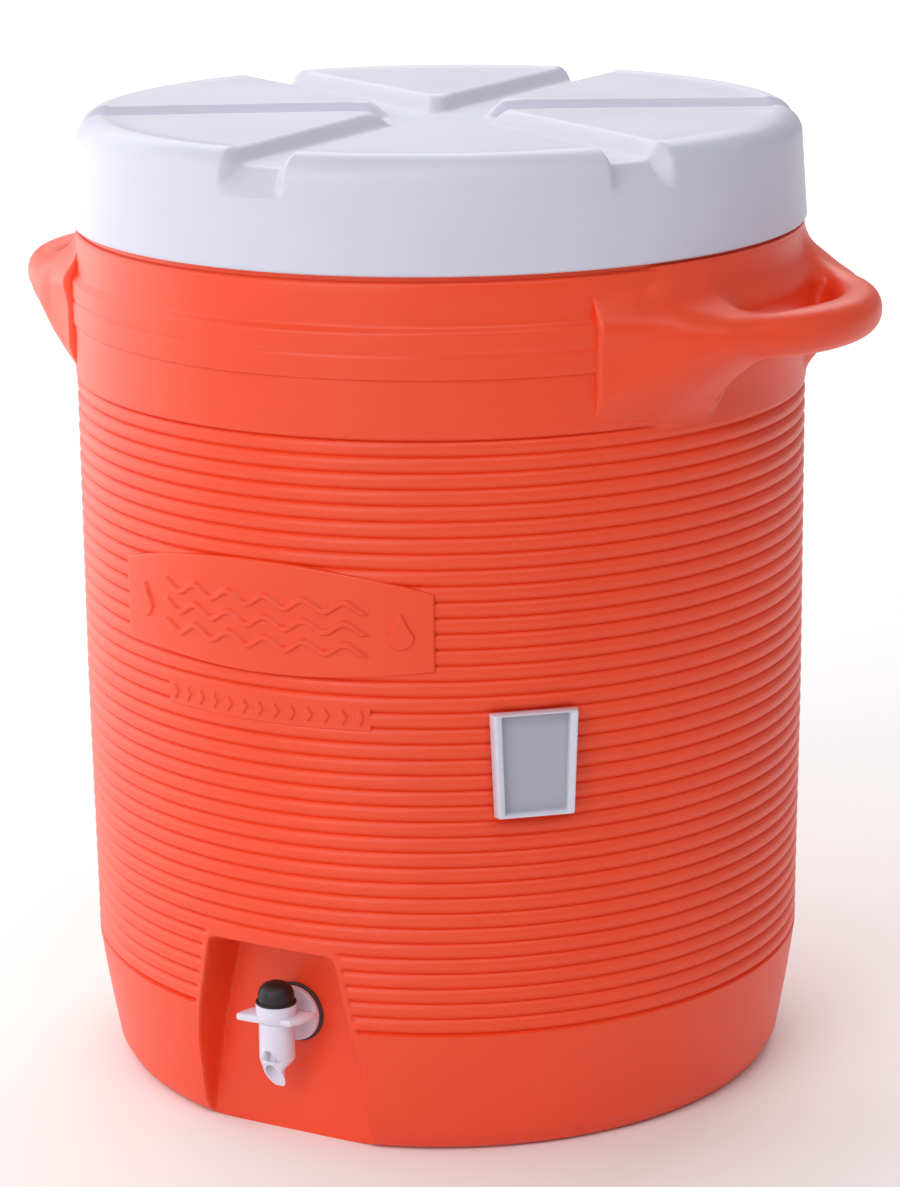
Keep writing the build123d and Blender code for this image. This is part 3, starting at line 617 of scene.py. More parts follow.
def shell_point(sizes, angle, height, wall=0.0, under=None):
    """Point of the lower shell, or of its inside when a wall is given.

    The point starts on the tub's circle, less the rib dip away from the recess. Inside the recess's
    outline it is then moved straight back, along Y, until it is on the flat panel. The share of the
    way is an S-curve of the inset over the draft, so the rim and the foot of the side walls are round.
    """
    radius = tub_radius(sizes, height) if under is None else under
    x = radius * np.sin(angle)
    inset = recess_inset(x, height) + wall
    front = np.cos(angle) > 0.0
    border = smooth((-inset - 1.5) / 3.0)
    dip = rib_dip(sizes, height) * np.where(front, border, 1.0)
    radius = radius - (dip if wall == 0.0 else 2.4 + wall)
    point = polar(radius, angle, height)
    share = np.where(front, smooth(inset / (3.0 + 4.5 * np.clip(height / RECESS_TOP, 0.0, 1.0))), 0.0)
    panel = panel_depth(height)
    flat = wall - panel + 0.02 * (point[..., 1] + panel)
    y = point[..., 1]
    point[..., 1] = np.where(y < flat, y + (flat - y) * share, y)
    return point


def recess_columns(height, radius, wall=0.0):
    """Angles of the columns of one row, gathered at both edges of the recess.

    Offsets from the edge run from 9 mm outside to 9 mm inside. Between the edges the columns are even,
    and so are the ones round the back.
    """
    edge = np.arcsin(np.clip((recess_half(np.minimum(height, RECESS_TOP)) + wall) / radius, 0.0, 0.8))
    spread = 9.0 / np.maximum(radius, 60.0)
    near = np.linspace(-1.0, 1.0, 33)
    inner = np.linspace(-1.0, 1.0, 19)[1:-1]
    back = np.linspace(0.0, 1.0, 210)[1:-1]
    left = -edge[:, None] + spread[:, None] * near[None, :]
    right = edge[:, None] + spread[:, None] * near[None, :]
    middle = (edge - spread)[:, None] * inner[None, :]
    start = (edge + spread)[:, None]
    rest = start + (TURN - 2.0 * start) * back[None, :]
    return np.concatenate([left, middle, right, rest], axis=1)


def lower_shell(sizes):
    """Foot, base, spigot recess and the lower half of the ribs, as one closed wall with a floor."""
    half = sizes.rib_count // 2
    top = sizes.ribs_top / MM - half * sizes.rib_pitch / MM
    bottom = sizes.ribs_top / MM - sizes.rib_count * sizes.rib_pitch / MM
    under = [(60.0, FOOT_HEIGHT), (140.0, FOOT_HEIGHT), (FOOT_INNER - 5.0, FOOT_HEIGHT)]
    under += [(FOOT_INNER - 2.0, 1.2), (FOOT_INNER, 0.0), (172.0, 0.0), (FOOT_RADIUS, 0.0)]
    under += corner(-85, -10, (FOOT_RADIUS, 8.2), 8.2, 8)
    ribs = rib_rows(sizes, half, sizes.rib_count)
    dense = RECESS_TOP + np.linspace(-9.0, 2.0, 23)
    heights = [np.linspace(9.5, bottom - 3.0, 22), [bottom - 1.0], ribs, dense, [top]]
    heights = np.unique(np.round(np.concatenate(heights), 3))
    foot_radii, foot_heights = np.array(under).T
    angles = recess_columns(foot_heights, foot_radii)
    foot = shell_point(sizes, angles, foot_heights[:, None], under=foot_radii[:, None])
    angles = recess_columns(heights, tub_radius(sizes, heights))
    side = shell_point(sizes, angles, heights[:, None])
    inner_heights = [[top], np.linspace(top - 10, RECESS_TOP + 12, 8),
                     RECESS_TOP + np.linspace(8.0, -4.0, 13), np.linspace(100.0, FLOOR_TOP + 2, 10)]
    inner_heights = np.concatenate(inner_heights)
    angles = recess_columns(inner_heights, tub_radius(sizes, inner_heights), WALL)
    inner = shell_point(sizes, angles, inner_heights[:, None], wall=WALL)
    floor_radii = np.array([178.0, 150.0, 60.0])
    floor_heights = np.full(3, FLOOR_TOP)
    angles = recess_columns(floor_heights, floor_radii, WALL)
    under_floor = floor_radii[:, None] + 2.4 + WALL
    floor = shell_point(sizes, angles, floor_heights[:, None], wall=WALL, under=under_floor)
    return turned_skin("shell_lower", np.concatenate([foot, side, inner, floor]))


def upper_shell(sizes):
    """Upper half of the ribs as a closed ring."""
    half = sizes.rib_count // 2
    heights = np.concatenate([rib_rows(sizes, 0, half), [sizes.ribs_top / MM]])
    angles = np.linspace(0.0, TURN, 288, endpoint=False)
    outer = polar((tub_radius(sizes, heights) - rib_dip(sizes, heights))[:, None], angles, heights[:, None])
    inner_heights = np.linspace(heights[-1], heights[0], 12)
    inner = polar((tub_radius(sizes, inner_heights) - 2.4 - WALL)[:, None], angles, inner_heights[:, None])
    return turned_skin("shell_upper", np.concatenate([outer, inner]), closed=True)


PAD_HALF = 106.0


def handle_side(angle):
    """Angle from the nearer handle's middle, 0 at +X and -X."""
    return np.abs(np.arcsin(np.clip(np.cos(angle), -1.0, 1.0)))


def pad_radius(height):
    """Radius of the smooth pads under the handles: level with the band, and let in above and below."""
    low = SHOULDER_RADIUS + (BAND_RADIUS - SHOULDER_RADIUS) * smooth((height - 396.0) / 16.0)
    return low - (BAND_RADIUS - NECK_RADIUS) * smooth((height - BAND_TOP + 4.0) / 16.0)


def neck_ring(sizes):
    """Shoulder, proud band with its two fine steps, chamfer, neck and handle pads, as a closed ring.

    A ring's radius is the profile's, mixed with the pad's by an S-curve of the distance to the handle.
    """
    start = sizes.ribs_top / MM
    profile = [(BODY_RADIUS - sizes.rib_depth / MM + 0.3, start), (SHOULDER_RADIUS - 0.7, start + 0.6)]
    profile += [(SHOULDER_RADIUS - 0.15, start + 1.7), (SHOULDER_RADIUS, start + 3.2)]
    profile += [(SHOULDER_RADIUS, BAND_BOTTOM - 14.0), (SHOULDER_RADIUS - 0.1, BAND_BOTTOM - 2.0)]
    profile += [(SHOULDER_RADIUS - 0.25, BAND_BOTTOM - 0.5), (BAND_RADIUS - 0.45, BAND_BOTTOM)]
    profile += [(BAND_RADIUS - 0.1, BAND_BOTTOM + 0.5), (BAND_RADIUS, BAND_BOTTOM + 1.4)]
    profile += [(BAND_RADIUS, 430.0), (BAND_RADIUS - 0.1, 431.2), (BAND_RADIUS - 0.55, 431.8)]
    profile += [(BAND_RADIUS - 0.6, 433.2), (BAND_RADIUS - 0.15, 434.2), (BAND_RADIUS, 435.4)]
    profile += [(BAND_RADIUS, BAND_TOP - 1.5), (BAND_RADIUS - 0.25, BAND_TOP - 0.4)]
    profile += [(BAND_RADIUS - 0.9, BAND_TOP + 0.4), (NECK_RADIUS + 0.8, BAND_TOP + 2.0)]
    rim = SHELL_TOP - 2.6
    profile += [(NECK_RADIUS + 0.2, BAND_TOP + 3.0), (NECK_RADIUS, BAND_TOP + 4.6), (NECK_RADIUS, rim - 8.0)]
    profile += [(NECK_RADIUS, rim - 2.6), (NECK_RADIUS - 0.35, rim - 1.2), (NECK_RADIUS - 1.2, rim - 0.3)]
    profile += [(NECK_RADIUS - 2.0, rim + 0.05), (NECK_RADIUS - 2.6, rim + 0.1)]
    profile += [(NECK_RADIUS - 2.7, SHELL_TOP), (NECK_RADIUS - 6.0, SHELL_TOP), (NECK_RADIUS - 6.0, 440.0)]
    profile += [(BODY_RADIUS - 5.5, 415.0), (BODY_RADIUS - 5.5, start)]
    radii, heights = np.array(profile).T
    outside = np.argmax(heights > SHELL_TOP - 3.0)
    fine = np.unique(np.concatenate([heights[:outside], np.arange(start + 4.0, rim - 9.0, 1.6)]))
    radii = np.concatenate([np.interp(fine, heights[:outside], radii[:outside]), radii[outside:]])
    heights = np.concatenate([fine, heights[outside:]])
    angles = np.linspace(0.0, TURN, 720, endpoint=False)[None, :]
    along = handle_side(angles) * BODY_RADIUS
    share = smooth((PAD_HALF - along) / 7.0) * (np.arange(len(heights)) < len(fine))[:, None]
    rings = radii[:, None] + (pad_radius(heights)[:, None] - radii[:, None]) * share
    rings = polar(rings, angles, heights[:, None])
    return turned_skin("shell_neck", rings, closed=True, crease=math.radians(50))


# ---- handles ----

BOW_CENTRE = 150.0
HANDLE_SINK = 0.12
HANDLE_INSIDE = 194.0


def handle_ground(along, z):
    """Radius of the pad under one handle, sunk a little, and more past the roots."""
    return pad_radius(z) - HANDLE_SINK - 2.6 * smooth((along - 92.0) / 16.0)


def handle_field(sizes):
    """Field of one handle at +X, below zero inside it.

    In plan the bar follows a bow, a circle about a point inside the tub, and a soft minimum with the
    tub's circle flares it towards both roots. A rounded box carries that plan from an underside to a
    top, which part towards the roots. A second soft minimum fillets it onto the pad, more above than
    below, and what lies deeper than a skin is cut off.
    """
    depth = sizes.bar_depth / MM / 2.0
    bow_radius = HANDLE_REACH - BOW_CENTRE - depth
    top, bottom = sizes.bar_top / MM, sizes.bar_bottom / MM
    root_top, root_bottom = sizes.root_top / MM, sizes.root_bottom / MM
    rounding = depth - 0.6

    def field(x, y, z):
        radius = np.hypot(x, y)
        along = np.abs(np.arctan2(y, x)) * BODY_RADIUS
        spread = (1.0 - smooth((radius - 198.0) / 32.0)) * smooth((along - 26.0) / 40.0)
        high = top + (root_top - top) * spread
        low = bottom + (root_bottom - bottom) * spread
        ground = radius - handle_ground(along, z)
        bow = np.abs(np.hypot(x - BOW_CENTRE, y) - bow_radius) - depth
        side = soft_min(bow, ground, 5.0 + 46.0 * smooth((along - 38.0) / 40.0)) + rounding
        upright = np.abs(z - (high + low) / 2.0) - (high - low) / 2.0 + rounding
        bar = np.hypot(np.maximum(side, 0.0), np.maximum(upright, 0.0))
        bar = bar + np.minimum(np.maximum(side, upright), 0.0) - rounding
        joined = soft_min(ground, bar, 9.0 + 14.0 * smooth((z - 428.0) / 20.0))
        return np.maximum(np.maximum(joined, HANDLE_INSIDE - radius), along - 135.0)

    return field


def handle(sizes, name, turned):
    """One moulded handle with its fairings; the left one is the right one turned half round."""
    low = (120.0, -126.0, 385.0)
    high = (HANDLE_REACH + 3.0, 126.0, SHELL_TOP - 1.0)
    piece = surface_net(name, handle_field(sizes), low, high, 1.3)
    if turned:
        piece.data.transform(Matrix.Rotation(math.pi, 4, "Z"))
    return piece


# ---- badge and motif strip ----

BADGE_HALF = 95.5
BADGE_FACE = 201.55
STRIP_HALF = 62.0
STRIP_FACE = 200.15


def drop_shape(s, z, size):
    """Field of an upright water drop about (0, 0): a circle whose upper half narrows to a point."""
    narrow = np.where(z > 0.0, 1.0 + 0.9 * (np.maximum(z, 0.0) / size) ** 1.25, 1.0)
    return np.hypot(s * narrow, z * np.where(z > 0.0, 0.62, 1.0)) - size


def stroke(distance, half, edge=0.55):
    """Relief of a stroke, 0 to 1: an S-curve of the distance from its middle line less half its width."""
    return 1.0 - smooth((distance - half + edge) / (2.0 * edge))


def wave_motif(s, z):
    """Relief of the badge, 0 to 1: three long ripples, one above the other, between two drops."""
    half = 2.6 * smooth((66.0 - np.abs(s)) / 10.0) - 1.0
    relief = np.zeros(np.broadcast(s, z).shape)
    for height in (280.0, 291.0, 302.0):
        ripple = height + 2.6 * np.sin(s * TURN / 22.0)
        relief = np.maximum(relief, stroke(np.abs(z - ripple), half))
    for side in (-1, 1):
        relief = np.maximum(relief, stroke(drop_shape(s - side * 78.0, z - 288.0, 7.0), 0.0))
    return relief


def diamond_row(s, z):
    """Relief of the strip, 0 to 1: a row of small upright diamonds."""
    across = s - 9.4 * np.round(s / 9.4)
    gap = 0.9 * np.abs(across) + 0.6 * np.abs(z - 243.7) - 2.4
    gap = np.maximum(gap, np.abs(s) - STRIP_HALF + 4.0)
    return stroke(gap, 0.0, 0.45)


def plaque(name, half, low_edge, high_edge, face, edge, relief, count):
    """Raised plaque on the tub, closed behind.

    A point has a place s along the curve and a share v of the way from the lower edge to the upper one.
    Its radius is the face less a quarter round within an edge's width of the outline, plus the relief.
    Behind the face the same outline goes straight in, under the ribs.
    """
    columns, rows = count
    line = np.linspace(-1.0, 1.0, columns)
    s = (half * line)[None, :]
    share = np.linspace(0.0, 1.0, rows)[:, None]
    share = 0.65 * share + 0.35 * (0.5 - 0.5 * np.cos(np.pi * share))
    low, high = low_edge(s), high_edge(s)
    z = low + (high - low) * share
    inset = np.minimum(np.minimum(z - low, high - z), half - np.abs(s) + 0.0 * z)
    rounded = edge * (1.0 - np.sqrt(np.clip(1.0 - np.clip(1.0 - inset / edge, 0.0, 1.0) ** 2, 0.0, 1.0)))
    front = polar(face - rounded + relief(s + 0.0 * z, z), s / BODY_RADIUS + 0.0 * z, z)
    back = polar(BODY_RADIUS - 4.5, s / BODY_RADIUS + 0.0 * z, z)
    return box_skin(name, front, back)


def box_skin(name, front, back):
    """Closed mesh from a front grid and a back grid of the same size: both skins and the four sides."""
    rows, columns = front.shape[:2]
    number = np.arange(rows * columns).reshape(rows, columns)
    quads = np.stack([number[:-1, :-1], number[:-1, 1:], number[1:, 1:], number[1:, :-1]], -1).reshape(-1, 4)
    behind = rows * columns
    border = np.concatenate([number[0, :-1], number[:-1, -1], number[-1, :0:-1], number[:0:-1, 0]])
    after = np.roll(border, -1)
    sides = np.stack([after, border, border + behind, after + behind], -1)
    points = np.concatenate([front.reshape(-1, 3), back.reshape(-1, 3)])
    return write_mesh(name, points, [quads, quads[:, ::-1] + behind, sides])


# ---- lid ----

def lid_columns(sizes, radius):
    """Angles of the columns of one lid ring, gathered on the walls of every groove."""
    half = sizes.groove_width / MM / 2.0
    sector = math.pi / sizes.groove_count
    limit = sector * 0.93
    inner = np.minimum(np.arcsin(np.clip((half - 6.0) / radius, 0.0, 0.999)), limit * 0.5)
    outer = np.minimum(np.arcsin(np.clip((half + 7.0) / radius, 0.0, 0.999)), limit)
    floor = inner[:, None] * np.linspace(0.0, 1.0, 5)[None, :-1]
    wall = inner[:, None] + (outer - inner)[:, None] * np.linspace(0.0, 1.0, 15)[None, :-1]
    land = outer[:, None] + (sector - outer)[:, None] * np.linspace(0.0, 1.0, 15)[None, :]
    right = np.concatenate([floor, wall, land], axis=1)
    fold = np.concatenate([-right[:, :0:-1], right[:, :-1]], axis=1)
    turns = np.arange(sizes.groove_count) * 2.0 * sector
    return (turns[None, :, None] + fold[:, None, :]).reshape(len(radius), -1)


def groove_share(sizes, radius, angle):
    """Share of the groove, 1 on its floor and 0 on the raised sectors.

    The angle is folded to the nearest groove. The inset into a sector is the soft minimum of the
    distances from the lines of both grooves beside it and from the hub's circle, and the wall is an
    S-curve of that inset.
    """
    sector = math.pi / sizes.groove_count
    fold = np.abs(angle - 2.0 * sector * np.round(angle / (2.0 * sector)))
    half = sizes.groove_width / MM / 2.0
    near = radius * np.sin(fold) - half
    far = radius * np.sin(2.0 * sector - fold) - half
    hub = radius - sizes.hub_radius / MM - 6.0
    inset = soft_min(soft_min(near, far, 10.0), hub, 10.0)
    return 1.0 - smooth((inset + 4.6) / 9.2)


def lid_paths(sizes):
    """Two profiles with the same number of points, from the hub out and down the side.

    The first has the flat top, the rim's quarter round and the leaning side. The second has the
    groove's floor, which turns down at 45 degrees near the rim and ends on the side, at the notch's foot.
    """
    rim = sizes.corner_radius / MM
    lean = 3.0
    top_radius = LID_RADIUS - lean
    floor = LID_TOP - sizes.groove_depth / MM
    notch_low = LID_TOP - sizes.notch_drop / MM
    across = np.concatenate([np.linspace(4.0, 24.0, 6), np.linspace(27.0, 44.0, 13),
                             np.linspace(52.0, top_radius - rim - 2.0, 15)])
    arc = np.radians(np.linspace(90.0, 0.0, 13))
    path = [(r, LID_TOP + 0.8 * (1.0 - (r / top_radius) ** 2) - 0.8) for r in across]
    path += [(top_radius - rim + rim * math.cos(a), LID_TOP - rim + rim * math.sin(a)) for a in arc]
    side = np.concatenate([np.linspace(LID_TOP - rim - 1.5, notch_low - 0.6, 12),
                           np.linspace(notch_low - 2.5, LID_BOTTOM + 2.5, 8)])
    path += [(top_radius + lean * (LID_TOP - rim - z) / (LID_TOP - rim - LID_BOTTOM), z) for z in side]
    path = np.array(path)
    low = path.copy()
    on_top = len(across)
    low[:on_top, 1] = floor
    count = len(arc) + 12
    end = path[on_top + count - 1]
    out = np.linspace(path[on_top - 1, 0], end[0], count + 1)[1:]
    low[on_top:on_top + count, 0] = out
    low[on_top:on_top + count, 1] = soft_min(floor + 0.0 * out, end[1] + (end[0] - out) * 1.05, 2.0)
    return path, low


def lid_cover(sizes):
    """The grooved cover: its two profiles mixed by the groove's share, and a wall's thickness inside."""
    path, low = lid_paths(sizes)
    radius, height = path[:, 0], path[:, 1]
    angles = lid_columns(sizes, radius)
    share = groove_share(sizes, radius[:, None], angles)
    r = radius[:, None] + (low[:, 0] - radius)[:, None] * share
    z = height[:, None] + (low[:, 1] - height)[:, None] * share
    outside = polar(r, angles, z)
    lip = [(LID_RADIUS - 0.05, LID_BOTTOM + 1.0), (LID_RADIUS - 0.4, LID_BOTTOM + 0.25)]
    lip += [(LID_RADIUS - 1.2, LID_BOTTOM), (LID_RADIUS - 2.5, LID_BOTTOM)]
    lip += [(LID_RADIUS - 2.6, LID_BOTTOM + 4.0), (LID_RADIUS - 3.2, LID_TOP - 34.0)]
    lip += [(LID_RADIUS - 12.0, LID_TOP - 25.0)]
    lip += [(150.0, LID_TOP - 14.0), (60.0, LID_TOP - 14.0)]
    lip = np.array(lip)
    inside = polar(lip[:, 0][:, None], lid_columns(sizes, lip[:, 0]), lip[:, 1][:, None])
    return turned_skin("lid_cover", np.concatenate([outside, inside]), flip=True)


# ---- spigot ----

def turned_fore_aft(name, profile, columns=72, thread=None, drop=None):
    """Surface of revolution about the wall pipe's axis, from (radius, distance out) points.

    Past a distance the rings drop below the axis by an S-curve. A thread adds a helical ridge between
    two distances: its height is a triangle wave of the distance less the turn times the pitch.
    """
    radii, outs = (np.array(v) for v in zip(*profile))
    angles = np.linspace(0.0, TURN, columns, endpoint=False)[None, :]
    radii = radii[:, None] + 0.0 * angles
    if thread:
        start, end, pitch, ridge = thread
        phase = outs[:, None] / pitch - angles / TURN
        wave = 1.0 - np.abs(2.0 * (phase - np.floor(phase)) - 1.0)
        fade = smooth((outs - start) / 1.5) * smooth((end - outs) / 1.5) * (radii[:, 0] > 8.0)
        radii = radii - ridge * (1.0 - wave) * fade[:, None]
    centre = PIPE_HEIGHT - (drop[1] * smooth((outs - drop[0]) / 4.0) if drop else 0.0 * outs)
    rings = np.stack([radii * np.sin(angles), -outs[:, None] + 0.0 * angles,
                      centre[:, None] + radii * np.cos(angles)], axis=-1)
    return turned_skin(name, rings)


def spigot_pipe():
    """Threaded tail, round flange and cross pipe of the spigot, turned about the pipe's axis."""
    front = -WASHER_LOW[1]
    tail = -SPIGOT_HIGH[1]
    flange = (SPIGOT_HIGH[0] - SPIGOT_LOW[0]) / 2.0
    thick = 3.4
    profile = [(4.0, -BARREL_Y - 4.0), (4.0, tail + 1.0)]
    profile += [(5.2, tail), (8.2, tail), (9.3, tail + 1.2)]
    profile += [(9.3, out) for out in np.arange(tail + 1.6, front - 0.5, 0.4)]
    profile += [(9.3, front), (flange - 0.8, front), (flange - 0.1, front + 0.5), (flange, front + 1.2)]
    profile += corner(0, 90, (flange - 1.8, front + thick - 1.6), 1.7, 6)
    profile += [(9.6, front + thick + 0.2), (7.6, front + thick + 0.7), (6.5, front + thick + 1.6)]
    profile += [(6.0, front + thick + 2.8), (5.8, front + thick + 4.4), (5.8, -BARREL_Y - 4.0)]
    return turned_fore_aft("spigot_pipe", profile[::-1], thread=(tail + 1.5, 152.0, 2.4, 1.0),
                           drop=(front + thick - 1.0, 3.6))


def spigot_barrel():
    """Upright barrel that steps in to a spout set towards the front, cut on a slant.

    Rings run down the outside, turn in at the tip and climb the bore. Their centres move forward, as
    they narrow, by an S-curve of the height. Each point below the slanted plane is lifted to it:
    z = tip + slope times the way forward from the spout's back.
    """
    top = BONNET_LOW[2]
    tip = SPIGOT_LOW[2]
    radius, tube, bore = 9.6, 5.8, 4.4
    slope = 1.55
    angles = np.linspace(0.0, TURN, 96, endpoint=False)[None, :]
    heights = np.concatenate([[60.0], np.linspace(48.0, 40.5, 16), np.linspace(39.8, tip + 0.5, 24)])
    narrow = radius - (radius - tube) * smooth((47.6 - heights) / 6.8)
    rows = [(6.0, top), (radius - 0.5, top), (radius, top - 0.5)] + list(zip(narrow, heights))
    rows += [(tube - 0.35, tip), (bore + 0.35, tip)]
    rows += [(bore, z) for z in np.linspace(tip + 0.5, 44.0, 24)] + [(5.4, 47.5), (6.2, 51.0), (6.2, 55.0)]
    rows = np.array(rows)
    r, z = rows[:, 0][:, None] + 0.0 * angles, rows[:, 1][:, None] + 0.0 * angles
    shift = (radius - tube) * smooth((47.6 - z) / 6.8)
    cut = tip + (r * np.cos(angles) + tube) * slope
    z = np.where(z < 47.9, np.maximum(z, cut + 0.02 * (z - tip)), z)
    rings = np.stack([r * np.sin(angles), BARREL_Y - r * np.cos(angles) - shift, z], axis=-1)
    return turned_skin("spigot_barrel", rings, flip=True, crease=math.radians(40))


PLATE_TURN = math.radians(28.7)


def finger_plate():
    """Skewed diamond plate with softly rounded tips and edges, turned as the bonnet screws tight.

    The outline in plan is the curve |u|^1.16 + |v|^1.16 = 1 with x = a u + c v and y = b v, and each
    ring is that outline set in by the plate's edge rounding.
    """
    low = BONNET_LOW[2]
    reach, depth, skew = 21.2, 12.4, 7.4
    angles = np.linspace(0.0, TURN, 144, endpoint=False)[None, :]
    edges = [(8.0, 0.0), (1.2, 0.0), (0.4, 0.25), (0.0, 0.9)]
    edges += [(0.0, 2.9), (0.35, 3.5), (1.0, 3.75), (8.0, 3.8)]
    inset, lift = (np.array(values)[:, None] for values in zip(*edges))
    power = 2.0 / 1.16
    u = np.sign(np.sin(angles)) * np.abs(np.sin(angles)) ** power
    v = np.sign(np.cos(angles)) * np.abs(np.cos(angles)) ** power
    x = (reach - inset) * u + skew * (1.0 - inset / reach) * v
    y = -(depth - inset * 0.8) * v
    rings = np.stack([x * math.cos(PLATE_TURN) - y * math.sin(PLATE_TURN),
                      BARREL_Y + x * math.sin(PLATE_TURN) + y * math.cos(PLATE_TURN),
                      low + lift + 0.0 * x], axis=-1)
    return turned_skin("spigot_finger_plate", rings, crease=math.radians(50))


def turned_on_barrel(name, profile, closed=False):
    """Surface of revolution about the barrel's axis, from (radius, height) points."""
    radii, heights = zip(*profile)
    piece = turned_profile(name, radii, heights, 96, closed=closed)
    piece.data.transform(Matrix.Translation(Vector((0.0, BARREL_Y, 0.0)) * MM))
    return piece


def bonnet_collar():
    """Collar round the button: a cup with a flared foot, a rounded lip and the stem's guide in its floor."""
    low, high = BONNET_LOW[2], BONNET_HIGH[2]
    outer = 11.0
    profile = [(1.68, low + 1.6), (1.68, low), (9.5, low), (10.5, low + 0.9), (outer, low + 2.2)]
    profile += [(outer, high - 0.6), (outer - 0.2, high - 0.1), (outer - 0.5, high)]
    profile += [(10.1, high), (10.05, high - 0.3), (10.05, low + 2.0), (9.6, low + 1.6)]
    return turned_on_barrel("spigot_collar", profile, closed=True)


def button_dome():
    """Hollow rubber dome: skirt, shoulder and crown, with a shallow dimple for the thumb."""
    low, high = BUTTON_LOW[2], BUTTON_HIGH[2]
    radius = (BUTTON_HIGH[0] - BUTTON_LOW[0]) / 2.0
    share = np.radians(np.linspace(4.0, 88.0, 18))
    crown = [(radius * math.cos(a) ** 0.8, low + 4.6 + (high - low - 4.6) * math.sin(a)) for a in share]
    profile = [(radius - 0.3, low), (radius, low + 0.3), (radius, low + 4.0)] + crown
    inside = [(0.6, high - 6.0), (6.8, high - 6.1), (7.7, high - 7.2), (7.7, low)]
    return turned_on_barrel("spigot_button_dome", inside + profile)


def seal_lip():
    """Flared rubber lip that seals the button in its collar."""
    low, high = SEAL_LOW[2], SEAL_HIGH[2]
    outer = (SEAL_HIGH[0] - SEAL_LOW[0]) / 2.0
    inner = 10.02
    profile = [(inner + 0.15, low), (outer - 0.2, low), (outer, low + 0.3), (outer - 0.1, low + 0.8)]
    profile += [(outer - 0.6, high - 0.25), (inner + 0.3, high), (inner, high - 0.2), (inner, low + 0.2)]
    return turned_on_barrel("button_lip", profile, closed=True)


def flange_washer():
    """Rubber washer behind the flange, squeezed so that its edge bulges."""
    back, front = -WASHER_HIGH[1], -WASHER_LOW[1]
    outer = (WASHER_HIGH[0] - WASHER_LOW[0]) / 2.0
    profile = [(9.4, back), (outer - 0.7, back), (outer - 0.15, back + 0.4), (outer, (back + front) / 2.0)]
    profile += [(outer - 0.15, front - 0.4), (outer - 0.7, front), (9.4, front)]
    radii, outs = (np.array(v) for v in zip(*profile))
    angles = np.linspace(0.0, TURN, 96, endpoint=False)[None, :]
    rings = np.stack([radii[:, None] * np.sin(angles), -outs[:, None] + 0.0 * angles,
                      PIPE_HEIGHT + radii[:, None] * np.cos(angles)], axis=-1)
    return turned_skin("flange_washer", rings, closed=True)


# ---- cup bracket ----

BRACKET_TURN = math.radians(41.7)


def bracket_frame():
    """Cup bracket as rings of rounded rectangles: back, sides, rounded rim, sloping inside and sunk face.

    A ring is a rectangle with round corners, set in from the outline by its own margins at the
    left and right, the top and the bottom, at its own distance in front of the tub. The plate
    narrows downwards in proportion to the height. The attribute "sunk" is 1 on the sunk face, where the
    bracket's material darkens the colour as painted shade.
    """
    half, low, high = 23.5, BRACKET_LOW[2], BRACKET_HIGH[2]
    taper = 2.25
    back = 200.3
    rings = []
    layout = [(1.0, 1.0, 1.0, 0.0), (0.2, 0.2, 0.2, 0.2), (0.0, 0.0, 0.0, 0.7), (1.2, 0.1, 0.5, 5.6),
              (1.45, 0.2, 0.7, 6.5), (1.8, 0.4, 0.95, 6.9), (2.3, 0.7, 1.3, 7.0), (4.7, 0.8, 1.7, 6.6),
              (5.1, 0.9, 2.0, 6.2), (5.4, 1.1, 2.3, 5.4), (5.9, 1.5, 3.0, 2.9), (6.1, 1.7, 3.3, 2.55),
              (6.8, 2.4, 4.0, 2.4)]
    for side, top, bottom, out in layout:
        rings.append(rounded_rectangle(half - side, low + bottom, high - top, 0.9, back + out))
    points = np.stack(rings)
    across, out, up = points[..., 0], points[..., 1], points[..., 2]
    across = across * (1.0 - taper / half * (high - up) / (high - low))
    x = across * math.cos(BRACKET_TURN) + out * math.sin(BRACKET_TURN)
    y = across * math.sin(BRACKET_TURN) - out * math.cos(BRACKET_TURN)
    rings = np.stack([x, y, up], axis=-1)
    piece = turned_skin("cup_bracket_frame", rings, flip=True, crease=math.radians(40))
    # Painted shade: the sunk face gets the attribute "sunk" = 1, and the bracket's material darkens it there.
    sunk = np.append((np.arange(len(layout)) >= 10).repeat(points.shape[1]), [False, True])
    piece.data.attributes.new("sunk", "FLOAT", "POINT").data.foreach_set("value", sunk.astype(np.float32))
    return piece


def rounded_rectangle(half, low, high, radius, out, count=5):
    """Outline of an upright rectangle with round corners: four quarter circles joined by straight edges."""
    outline = []
    corners = [(half - radius, low + radius, -90), (half - radius, high - radius, 0),
               (radius - half, high - radius, 90), (radius - half, low + radius, 180)]
    for across, up, start in corners:
        angles = np.radians(start + np.linspace(0.0, 90.0, count))
        outline.append(np.stack([across + radius * np.cos(angles), np.full(count, out),
                                 up + radius * np.sin(angles)], axis=-1))
    return np.concatenate(outline)


# ---- operators ----

